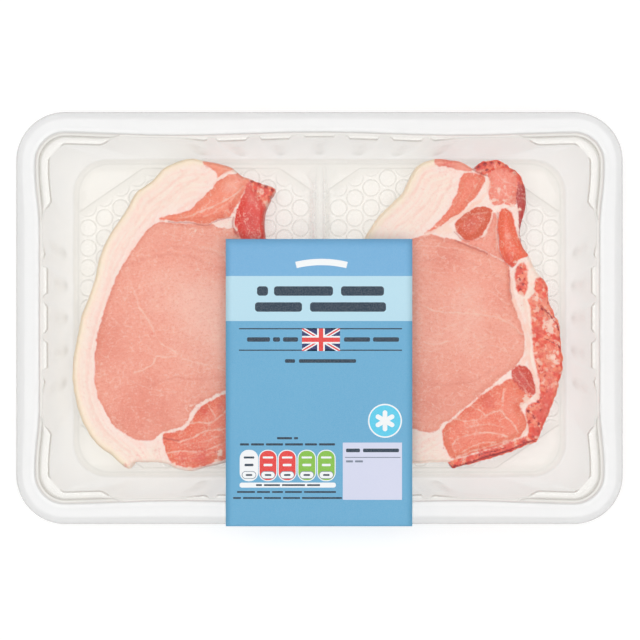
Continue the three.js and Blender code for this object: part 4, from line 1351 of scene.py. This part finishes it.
def tray_floor(edge):
    """Points, triangles and marks of the floor inside its edge ring, and where it is dimpled."""
    dimples, centres = dimple_points()
    ridge_lines = sorted({round(side * RIDGE_CENTRE + off, 3) for side in (-1, 1)
                          for off in (-2.4, -2.0, -1.4, -0.7, 0, 0.7, 1.4, 2.0, 2.4)})
    ridges = np.array([(x, y) for x in ridge_lines for y in np.linspace(-61, 61, 34)])
    plain = lattice(edge.min(axis=0), edge.max(axis=0), 4.0)
    plain = plain[(np.abs(plain[:, 0]) > 5.5) & ~(field_depth(plain) > -1.5)]
    loose = np.vstack([dimples, ridges, plain] + [field_sides(g) for g in (0.0, 0.35, 0.7)])
    loose = loose[depth_in(loose, edge) > 0.3]
    points, triangles = fill_outline(edge, loose)
    x, y = points[:, 0], points[:, 1]
    off_centre = np.full(len(points), 9.0)
    for centre in centres:
        off_centre = np.minimum(off_centre, np.hypot(x - centre[0], y - centre[1]))
    raised = field_depth(points)
    on_field = ease(raised, -0.7, -0.1)
    rise = 1 - ease(off_centre, 1.6, DIMPLE_RADIUS)
    ridge = ridge_share(x, y)
    height = FLOOR_Z + 0.25 * on_field + in_mm(sizes().dimple) * rise + 3.2 * ridge
    # Painted shade along the dimpled fields' edges and faintly outside them, and a painted
    # highlight on the divider's ridges; dimpled marks where the plastic paints its dimple rings and
    # domes.
    bend_shade = 0.12 * np.exp(-((raised + 0.35) / 0.30) ** 2) + 0.02 * (1 - on_field) * (np.abs(x) > 6)
    glint = 0.30 * ease(ridge, 0.4, 1.0) * (np.abs(y) < 66)
    dimpled = (off_centre < DIMPLE_RADIUS + 0.85).astype(float)
    return np.column_stack([points, height]), triangles, bend_shade, glint, dimpled


def dimple_distance(s):
    """Distance in millimetres from the middle of the nearest dimple, in the floor's pattern."""
    apart = s.nodes.new("ShaderNodeSeparateXYZ")
    s.links.new(s.place, apart.inputs[0])
    from_divider = s.math("ABSOLUTE", apart.outputs[0])
    out = s.math("ABSOLUTE", s.math("SUBTRACT", from_divider, DIMPLE_MIDDLE_X))
    across = s.math("PINGPONG", s.math("SUBTRACT", out, DIMPLE_PITCH_X / 2), DIMPLE_PITCH_X)
    back = s.math("SUBTRACT", apart.outputs[1], TRAY_MIDDLE_Y + DIMPLE_PITCH_Y / 2)
    along = s.math("PINGPONG", back, DIMPLE_PITCH_Y / 2)
    near = s.distance(across, along)
    other_across = s.math("SUBTRACT", DIMPLE_PITCH_X, across)
    other_along = s.math("SUBTRACT", DIMPLE_PITCH_Y / 2, along)
    return s.math("MINIMUM", near, s.distance(other_across, other_along))


def plastic_material():
    """Clear plastic: faint haze, painted shade at its bends, round its dimples and where seen edge
    on, painted highlights at its glints and on the dimples' domes, and glossy.
    """
    c = colours()
    s = Shader("clear_plastic")
    facing = s.nodes.new("ShaderNodeLayerWeight")
    facing.inputs["Blend"].default_value = 0.5
    # Painted shade where the plastic is seen edge on.
    turned = s.ramp(facing.outputs["Facing"], 0.86, 1.0)
    mottled = s.ramp(s.noise(0.05, 2), 0.35, 0.65)
    cell = dimple_distance(s)
    # Painted shade in a ring round each dimple.
    ring = s.math("MULTIPLY", s.ramp(cell, DIMPLE_RADIUS - 0.8, DIMPLE_RADIUS - 0.1),
                  s.ramp(cell, DIMPLE_RADIUS + 0.6, DIMPLE_RADIUS + 0.1))
    ring = s.math("MULTIPLY", ring, s.value("dimpled"))
    bend_shade = s.math("MAXIMUM", s.value("bend_shade"), s.math("MULTIPLY", ring, 0.10))
    bend_shade = s.math("MULTIPLY", s.math("MAXIMUM", bend_shade, s.math("MULTIPLY", turned, 0.08)), 0.75)
    # Painted highlight on each dimple's dome.
    dome = s.math("MULTIPLY", s.ramp(cell, 3.0, 2.0, 0.0, 0.03), s.value("dimpled"))
    glint = s.math("MAXIMUM", s.value("glint"), dome)
    glint = s.math("MULTIPLY", glint, 0.6)
    inside_tint = s.mix(mottled, linear((238, 227, 200)), linear((234, 224, 198)))
    haze = s.mix(s.ramp(s.value("haze"), 0.10, 0.25), inside_tint, c.plastic)
    bent = s.math("ADD", s.value("haze"), bend_shade)
    alpha = s.math("MINIMUM", s.math("ADD", bent, glint), 0.85)
    # The painted shade is laid on as the plastic-edge grey and the painted highlights as white.
    colour = s.mix(s.math("DIVIDE", bend_shade, bent), haze, c.plastic_edge)
    colour = s.mix(s.math("DIVIDE", glint, s.math("ADD", bent, glint)), colour, (1.0, 1.0, 1.0))
    s.set(
        Base_Color=colour,
        Alpha=alpha,
        Roughness=0.14,
        IOR=1.5,
    )
    s.bump(s.noise(0.12, 2), 0.15, 0.2)
    return s.material


def film_material():
    """Clear taut film, seen by its faint haze, by a painted reflection where it is seen edge on,
    and by its gloss.
    """
    s = Shader("clear_film")
    facing = s.nodes.new("ShaderNodeLayerWeight")
    facing.inputs["Blend"].default_value = 0.4
    cloud = s.ramp(s.noise(0.03, 1), 0.3, 0.7)
    # Painted reflection: the pale film grows more opaque where it is seen edge on.
    s.set(
        Base_Color=s.mix(cloud, linear((240, 241, 242)), linear((246, 246, 246))),
        Alpha=s.ramp(facing.outputs["Facing"], 0.2, 1.0, 0.018, 0.30),
        Roughness=0.10,
        IOR=1.45,
    )
    s.bump(s.noise(0.02, 2), 0.3, 0.3)
    return s.material


class CHOPPACK_OT_tray(bpy.types.Operator):
    """Makes the clear tray, with its ledge, flutes, divider and dimpled floor"""

    bl_idname = "choppack.tray"
    bl_label = "Make Tray"

    def execute(self, context):
        around = tray_samples(AROUND_STEP)
        walls, wall_bend_shade, wall_glint = stacked_rings(around)
        count = len(around["step"])
        levels = len(walls) // count
        edge = walls[-count:, :2]
        floor, triangles, floor_bend_shade, floor_glint, dimpled = tray_floor(edge)
        if not np.allclose(floor[:count, :2], edge, atol=1e-3):
            raise RuntimeError("the floor's edge doesn't meet the wall")
        points = np.vstack([walls, floor[count:]]) + np.array([0, TRAY_MIDDLE_Y, 0])
        near_middle = np.abs(points[:, 0]) < LABEL_ROOM_HALF
        over_label = (points[:, 1] < 0) & near_middle & (points[:, 2] < FLOOR_Z)
        points[over_label, 2] = FLOOR_Z - 0.1
        faces = [tuple(f) for f in ring_faces(levels, count)]
        faces += [tuple(f) for f in triangles + (levels - 1) * count]
        piece = make_object("clear_tray", points, faces, [plastic_material()])
        # Painted shade at bends and painted highlights at glints, stored for the plastic's
        # material.
        add_values(piece, "bend_shade", np.concatenate([wall_bend_shade, floor_bend_shade[count:]]))
        add_values(piece, "glint", np.concatenate([wall_glint, floor_glint[count:]]))
        add_values(piece, "dimpled", np.concatenate([np.zeros(len(walls)), dimpled[count:]]))
        flange_share = ease(points[:, 2], STEP_Z, RIM_Z - 0.5)
        floor_share = 1 - ease(points[:, 2], 1.5, 6.0)
        add_values(piece, "haze", 0.10 + 0.27 * flange_share + 0.03 * floor_share)
        skin = piece.modifiers.new("wall", "SOLIDIFY")
        skin.thickness = sizes().tray_wall
        skin.offset = -1
        apply_modifiers(piece)
        add_to_pack(piece, ["tray"])
        return {"FINISHED"}


def rounded_oblong(half_length, half_width, radius, steps=14):
    """Points of an oblong with round corners, counterclockwise."""
    turns = np.linspace(0, math.pi / 2, steps)
    corners = []
    for k, (side_x, side_y) in enumerate(((1, 1), (-1, 1), (-1, -1), (1, -1))):
        angle = turns + k * math.pi / 2
        corners.append(np.column_stack([
            side_x * (half_length - radius) + radius * np.cos(angle),
            side_y * (half_width - radius) + radius * np.sin(angle),
        ]))
    return np.vstack(corners)


class CHOPPACK_OT_film(bpy.types.Operator):
    """Makes the clear lid film, sealed to the tray's flange"""

    bl_idname = "choppack.film"
    bl_label = "Make Lid Film"

    def execute(self, context):
        edge = rounded_oblong(
            HALF_LENGTH - FILM_SET_BACK, HALF_WIDTH - FILM_SET_BACK, FLANGE_CORNER,
        )
        loose = lattice(edge.min(axis=0), edge.max(axis=0), 5.0)
        loose = loose[depth_in(loose, edge) > 2.5]
        flat, triangles = fill_outline(edge, loose)
        opening = rounded_oblong(OPENING_HALF_LENGTH, OPENING_HALF_WIDTH, OPENING_CORNER)
        free = depth_in(flat, opening)
        waves = 0.08 * field_noise(on_plane(flat), 0.03, 4)
        sag = -FILM_SAG * ease(free, 0, 40) + waves * ease(free, 0, 8)
        points = np.column_stack([flat, RIM_Z + FILM_RISE + sag]) + np.array([0, TRAY_MIDDLE_Y, 0])
        piece = make_object("lid_film_clear", points, triangles, [film_material()])
        skin = piece.modifiers.new("film", "SOLIDIFY")
        skin.thickness = sizes().film
        apply_modifiers(piece)
        add_to_pack(piece, ["lid_film"])
        return {"FINISHED"}


class CHOPPACK_OT_chop(bpy.types.Operator):
    """Makes one raw chop, with its fat, muscles, seams, rind and bone"""

    bl_idname = "choppack.chop"
    bl_label = "Make Chop"

    side: EnumProperty(
        name="Side",
        description="Which half of the tray the chop lies in",
        items=(("left", "Left", "Left half"), ("right", "Right", "Right half")),
        default="left",
    )

    def execute(self, context):
        plan = LEFT_CHOP if self.side == "left" else RIGHT_CHOP
        material = bpy.data.materials.get("raw_pork") or meat_material()
        piece = build_meat(f"pork_chop_{self.side}", plan, material)
        nodes = [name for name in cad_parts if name.startswith(f"chop_{self.side}_")]
        add_to_pack(piece, nodes)
        return {"FINISHED"}


# Label

LABEL_TOP_Z = RIM_Z + 0.42
BAND_TOP_PIXEL = 276
BAND_LOW_PIXEL = 321
PRINT_STEP = 0.02
LABEL_FOLD_RADIUS = 1.0
LABEL_LEFT_REACH = 0.4
LABEL_BASE_FRONT_Y = TRAY_MIDDLE_Y - 73.8
LABEL_BASE_REAR_Y = TRAY_MIDDLE_Y - 22.0
LABEL_ROOM_HALF = 43


def paper_material(name, colour, shade=(0.97, 0.98, 0.99)):
    """Coated paper in one printed colour, with faint unevenness of ink and fibre."""
    s = Shader(name)
    cloud = s.ramp(s.noise(0.03, 3), 0.3, 0.7)
    grain = s.noise(3.0, 3)
    tint = s.mix(cloud, colour, s.mix(1.0, colour, shade, "MULTIPLY"))
    s.set(
        Base_Color=s.mix(s.ramp(grain, 0.35, 0.65, 0.0, 0.06), tint, (1.0, 1.0, 1.0)),
        Roughness=0.58,
        IOR=1.40,
    )
    s.bump(grain, 0.02, 0.35)
    return s.material


def label_path():
    """The label's section from its rear edge, over the rim and down, to its end under the base."""
    front = LABEL_LOW[1]
    rear = LABEL_HIGH[1]
    top = LABEL_TOP_Z
    band_top = photo_point(0, BAND_TOP_PIXEL, top)[1]
    band_low = photo_point(0, BAND_LOW_PIXEL, top)[1]
    flat_places = np.concatenate([
        np.linspace(rear, band_top, 5), np.linspace(band_top, band_low, 5)[1:],
        np.linspace(band_low, front + LABEL_FOLD_RADIUS, 24)[1:],
    ])
    path = [(y, top) for y in flat_places]
    for angle in np.linspace(0, 1.5, 6)[1:]:
        path.append((
            front + LABEL_FOLD_RADIUS - LABEL_FOLD_RADIUS * math.sin(angle),
            top - LABEL_FOLD_RADIUS + LABEL_FOLD_RADIUS * math.cos(angle),
        ))
    low_front = LABEL_BASE_FRONT_Y
    for share in np.linspace(0, 1, 14)[1:-1]:
        bow = 0.25 * math.sin(math.pi * share)
        height = (top - 2.4) * (1 - share) + 0.5 * share
        path.append((front + (low_front - front) * share + bow, height))
    path += [(low_front + 0.3, 0.22), (low_front + 1.0, 0.12)]
    path += [(y, 0.1) for y in np.linspace(low_front + 2.5, LABEL_BASE_REAR_Y, 14)]
    return path


class CHOPPACK_OT_label(bpy.types.Operator):
    """Makes the paper wrap label, bent over the front edge and under the base"""

    bl_idname = "choppack.label"
    bl_label = "Make Wrap Label"

    def execute(self, context):
        c = colours()
        path = label_path()
        across = np.linspace(LABEL_LOW[0] - LABEL_LEFT_REACH, LABEL_HIGH[0], 28)
        points = [(x, y, z) for y, z in path for x in across]
        columns = len(across)
        faces, fields = [], []
        band_top = photo_point(0, BAND_TOP_PIXEL, LABEL_TOP_Z)[1] - 0.01
        band_low = photo_point(0, BAND_LOW_PIXEL, LABEL_TOP_Z)[1] - 0.01
        for row in range(len(path) - 1):
            middle = (path[row][0] + path[row + 1][0]) / 2
            on_top = path[row][1] > RIM_Z
            field = 2
            if on_top and middle > band_low:
                field = 0 if middle > band_top else 1
            for column in range(columns - 1):
                a = row * columns + column
                faces.append((a, a + columns, a + columns + 1, a + 1))
                fields.append(field)
        materials = [
            paper_material("label_top_blue", c.label_top),
            paper_material("label_pale_band", c.label_pale),
            paper_material("label_blue", c.label_blue),
        ]
        piece = make_object("wrap_label", points, faces, materials)
        piece.data.polygons.foreach_set("material_index", fields)
        skin = piece.modifiers.new("paper", "SOLIDIFY")
        skin.thickness = sizes().label
        skin.offset = -1
        apply_modifiers(piece)
        add_to_pack(piece, ["label"])
        return {"FINISHED"}


def pill(x0, y0, x1, y1, radius=None, steps=8):
    """Pixel outline of an oblong with round corners."""
    most = min(x1 - x0, y1 - y0) / 2
    radius = most if radius is None else min(radius, most)
    shape = rounded_oblong((x1 - x0) / 2, (y1 - y0) / 2, radius, steps)
    return shape + np.array([(x0 + x1) / 2, (y0 + y1) / 2])


def oblong(x0, y0, x1, y1):
    """Pixel outline of an oblong with sharp corners."""
    return np.array([(x0, y0), (x1, y0), (x1, y1), (x0, y1)])


def disc(x, y, radius, steps=48):
    """Pixel outline of a circle."""
    turns = np.linspace(0, 2 * math.pi, steps, endpoint=False)
    return np.column_stack([x + radius * np.cos(turns), y + radius * np.sin(turns)])


def bar_at(x, y, length, width, turn):
    """Pixel outline of a round-ended bar about its middle, turned by an angle."""
    shape = pill(-length / 2, -width / 2, length / 2, width / 2)
    cos, sin = math.cos(turn), math.sin(turn)
    return shape @ np.array([[cos, sin], [-sin, cos]]) + np.array([x, y])


def arc_band(x, y, radius, width, half_turn, steps=20):
    """Pixel outline of a band bent round a place below it."""
    turns = np.linspace(-half_turn, half_turn, steps)
    outer, inner = radius + width / 2, radius - width / 2
    out = np.column_stack([x + outer * np.sin(turns), y - outer * np.cos(turns)])
    back = np.column_stack([x + inner * np.sin(turns), y - inner * np.cos(turns)])
    return np.vstack([out, back[::-1]])


def diagonal(x0, y0, x1, y1, half):
    """Pixel outline of a band from one corner of an oblong to the opposite one."""
    run = math.hypot(x1 - x0, y1 - y0)
    cut_x, cut_y = half * run / abs(y1 - y0), half * run / abs(x1 - x0)
    sign_x, sign_y = np.sign(x1 - x0), np.sign(y1 - y0)
    return np.array([
        (x0, y0), (x0 + sign_x * cut_x, y0), (x1, y1 - sign_y * cut_y), (x1, y1),
        (x1 - sign_x * cut_x, y1), (x0, y0 + sign_y * cut_y),
    ])


def word_bars(y, height, spans):
    """Round bars in place of words, each from one pixel column to another."""
    return [pill(x0, y - height / 2, x1, y + height / 2, height * 0.32) for x0, x1 in spans]


def flag_shapes():
    """A common national flag in plain stripes, as lists of shapes by colour and layer."""
    x0, x1, y0, y1 = 302.0, 340.0, 328.5, 351.0
    middle_x, middle_y = (x0 + x1) / 2, (y0 + y1) / 2
    falling, rising = (x0, y0, x1, y1), (x0, y1, x1, y0)
    shapes = [("print_navy", 1, [oblong(x0, y0, x1, y1)])]
    for colour, layer, half in (("print_white", 2, 1.9), ("print_red", 4, 0.7)):
        shapes.append((colour, layer, [diagonal(*falling, half)]))
        shapes.append((colour, layer + 1, [diagonal(*rising, half)]))
    for colour, layer, half in (("print_white", 6, 3.8), ("print_red", 8, 2.2)):
        shapes.append((colour, layer, [oblong(middle_x - half, y0, middle_x + half, y1)]))
        shapes.append((colour, layer + 1, [oblong(x0, middle_y - half, x1, middle_y + half)]))
    return shapes


def heading_shapes():
    """The label's headings as plain bars: a curved one, two title lines and two rules."""
    arc = arc_band(321.5, 372.0, 110.0, 6.4, math.radians(13.4))
    titles = word_bars(291, 9.4, ((257, 268), (274, 333), (341, 384)))
    titles += word_bars(307, 9.4, ((255, 302), (310, 386)))
    rules = [oblong(239, y - 0.6, 402, y + 0.6) for y in (328.7, 350.2)]
    words = word_bars(339.5, 4.4, ((247, 270), (273, 280), (283, 298), (344, 370), (373, 399)))
    words += word_bars(361, 3.6, ((285, 295), (299, 356)))
    return [("print_white", 1, [arc]), ("print_ink", 1, titles + rules + words)]


def star_shapes():
    """A round cold-storage sign: a pale disc, a white ring and a six-armed star."""
    x, y = 385.0, 420.8
    arms = [bar_at(x, y, 21.0, 4.6, math.pi / 2 + k * math.pi / 3) for k in range(3)]
    shapes = [("print_white", 1, [disc(x, y, 17.0)]), ("print_sky", 2, [disc(x, y, 15.6)])]
    return shapes + [("print_white", 3 + k, [arm]) for k, arm in enumerate(arms)]


def table_shapes():
    """The food-value lozenges, the strip under them, and the small lines round them."""
    shapes = []
    fields = ((249.0, "print_white"), (268.0, "print_red"), (287.2, "print_red"),
              (306.8, "print_green"), (326.3, "print_green"))
    outlines = [pill(x - 9.3, 449.8, x + 9.3, 481.2, 8.5) for x, _ in fields]
    shapes.append(("print_white", 1, outlines))
    for x, colour in fields:
        inner = pill(x - 8.4, 450.8, x + 8.4, 480.2, 7.6)
        shapes.append((colour, 2, [inner]))
        shapes.append(("print_grey", 3, [pill(x - 7.2, 471.2, x + 7.2, 478.8, 3.6)]))
        shapes.append(("print_white", 4, [pill(x - 6.6, 471.8, x + 6.6, 478.2, 3.1)]))
        ink = "print_ink" if colour == "print_white" else "print_white"
        shapes.append((ink, 3, word_bars(457.5, 2.0, ((x - 5.2, x + 5.2),))
                       + word_bars(465.0, 2.4, ((x - 4.4, x + 4.4),))))
        shapes.append(("print_ink", 5, word_bars(475.0, 1.8, ((x - 3.2, x + 3.2),))))
    shapes.append(("print_white", 1, [pill(239.5, 482.6, 336.0, 487.6, 2.4)]))
    strip = word_bars(485.1, 1.8, ((256, 262), (264, 280), (282, 305), (307, 320)))
    shapes.append(("print_ink", 2, strip))
    small = word_bars(438.2, 2.2, ((277, 292), (294, 298)))
    small += word_bars(444.4, 2.2, (
        (240, 249), (251, 264), (266, 283), (285, 303), (305, 317), (319, 335),
    ))
    small += word_bars(492.0, 1.8, ((237, 255), (257, 270), (272, 283), (285, 302), (304, 336)))
    small += word_bars(498.0, 1.8, ((233, 241), (243, 262), (264, 281), (283, 300), (302, 342)))
    shapes.append(("print_ink", 1, small))
    return shapes


def date_box_shapes():
    """The pale box for a date, with a heading bar and a rule."""
    x0, x1, y0, y1 = 342.8, 402.0, 442.6, 499.8
    rule = oblong(345, 457.0, 400.5, 457.8)
    bars = word_bars(450.4, 3.6, ((346, 360), (363, 399)))
    thin = word_bars(461.4, 2.0, ((346, 353), (355, 363)))
    return [("print_lavender", 1, [oblong(x0, y0, x1, y1)]),
            ("print_grey", 2, [rule]), ("print_ink", 2, bars), ("print_grey", 2, thin)]


PRINT_COLOURS = {
    "print_white": (250, 252, 253), "print_ink": (12, 48, 70), "print_navy": (22, 40, 104),
    "print_red": (236, 56, 52), "print_green": (136, 196, 62), "print_sky": (88, 209, 241),
    "print_lavender": (219, 222, 243), "print_grey": (120, 132, 150),
}


class CHOPPACK_OT_print(bpy.types.Operator):
    """Makes the label's print as plain fields, bars, lozenges and signs"""

    bl_idname = "choppack.print"
    bl_label = "Make Label Print"

    def execute(self, context):
        gathered = {}
        drawings = (flag_shapes, heading_shapes, star_shapes, table_shapes, date_box_shapes)
        for colour, layer, outlines in (shape for draw in drawings for shape in draw()):
            points, faces = gathered.setdefault(colour, ([], []))
            z = LABEL_TOP_Z + PRINT_STEP * layer
            for outline in outlines:
                first = len(points)
                points += [(*photo_point(x, y, z), z) for x, y in outline]
                face = list(range(first, len(points)))
                upward = signed_area(np.array(points[first:])) > 0
                faces.append(face if upward else face[::-1])
        for colour, (points, faces) in gathered.items():
            material = paper_material(f"{colour}_paper", tuple(linear(PRINT_COLOURS[colour])))
            piece = make_object(f"label_{colour}", points, faces, [material], smooth=False)
            add_to_pack(piece)
        return {"FINISHED"}


class CHOPPACK_OT_stage(bpy.types.Operator):
    """Makes the pale floor, the soft lights and the camera that looks straight down"""

    bl_idname = "choppack.stage"
    bl_label = "Make Stage"

    def execute(self, context):
        scene = context.scene
        scene.view_settings.view_transform = "Standard"
        half, below = 3000.0, -0.02
        corners = [(half * x, half * y, below) for x, y in ((-1, -1), (1, -1), (1, 1), (-1, 1))]
        ground = Shader("pale_floor")
        ground.set(
            Base_Color=ground.mix(ground.noise(0.01, 1), (0.50, 0.50, 0.50), (0.52, 0.52, 0.52)),
            Roughness=0.9,
            Emission_Color=(1.0, 1.0, 1.0),
            Emission_Strength=0.585,
        )
        floor = make_object("floor", corners, [(0, 1, 2, 3)], [ground.material], smooth=False)
        world = bpy.data.worlds.new("soft_sky")
        world.use_nodes = True
        sky = next(n for n in world.node_tree.nodes if n.type == "BACKGROUND")
        sky.inputs["Color"].default_value = (1.0, 1.0, 1.0, 1.0)
        sky.inputs["Strength"].default_value = 0.32
        scene.world = world
        self.add_light("soft_above", (0.0, 0.0, 1.25), 0.70, 8.8)
        self.add_light("soft_left", (-0.9, 0.8, 1.3), 0.9, 2.2)
        self.add_light("soft_right", (1.1, -0.6, 1.3), 0.9, 1.7)
        self.add_camera(scene)
        return {"FINISHED"}

    def add_light(self, name, place, size, power):
        """One square soft light that faces the pack."""
        data = bpy.data.lights.new(name, "AREA")
        data.shape = "SQUARE"
        data.size = size
        data.energy = power
        light = bpy.data.objects.new(name, data)
        light.location = place
        light.rotation_euler = (-Vector(place)).to_track_quat("-Z", "Y").to_euler()
        bpy.context.collection.objects.link(light)

    def add_camera(self, scene):
        """The camera straight above the pack, framed as the photograph is."""
        data = bpy.data.cameras.new("camera")
        data.sensor_width = 36.0
        data.lens = data.sensor_width * CAMERA_ABOVE_RIM / (PHOTO_FRAME_PIXELS * PIXEL_AT_RIM)
        camera = bpy.data.objects.new("camera", data)
        x, y = photo_point(PHOTO_FRAME_PIXELS / 2, PHOTO_FRAME_PIXELS / 2, RIM_Z)
        camera.location = (x * MM, y * MM, (RIM_Z + CAMERA_ABOVE_RIM) * MM)
        bpy.context.collection.objects.link(camera)
        scene.camera = camera


class CHOPPACK_PT_panel(bpy.types.Panel):
    """Lists the pack's pieces, sizes and colours"""

    bl_idname = "CHOPPACK_PT_panel"
    bl_label = "Chop Tray Pack"
    bl_space_type = "VIEW_3D"
    bl_region_type = "UI"
    bl_category = "Chop Pack"

    def draw(self, context):
        for name in ("tray", "film", "label", "print", "stage"):
            self.layout.operator(f"choppack.{name}")
        for side in ("left", "right"):
            self.layout.operator("choppack.chop", text=f"Make {side} chop").side = side
        for group in (context.scene.chop_pack_sizes, context.scene.chop_pack_colours):
            for name in group.__annotations__:
                self.layout.prop(group, name)


CLASSES = (
    ChopPackSizes, ChopPackColours, CHOPPACK_OT_tray, CHOPPACK_OT_film, CHOPPACK_OT_chop,
    CHOPPACK_OT_label, CHOPPACK_OT_print, CHOPPACK_OT_stage, CHOPPACK_PT_panel,
)


def register():
    for item in CLASSES:
        bpy.utils.register_class(item)
    bpy.types.Scene.chop_pack_sizes = PointerProperty(type=ChopPackSizes)
    bpy.types.Scene.chop_pack_colours = PointerProperty(type=ChopPackColours)


def unregister():
    del bpy.types.Scene.chop_pack_colours
    del bpy.types.Scene.chop_pack_sizes
    for item in reversed(CLASSES):
        bpy.utils.unregister_class(item)


def main():
    """Makes the whole pack and its stage."""
    register()
    bpy.ops.choppack.stage()
    bpy.ops.choppack.tray()
    bpy.ops.choppack.film()
    bpy.ops.choppack.chop(side="left")
    bpy.ops.choppack.chop(side="right")
    bpy.ops.choppack.label()
    bpy.ops.choppack.print()


if __name__ == "__main__":
    main()
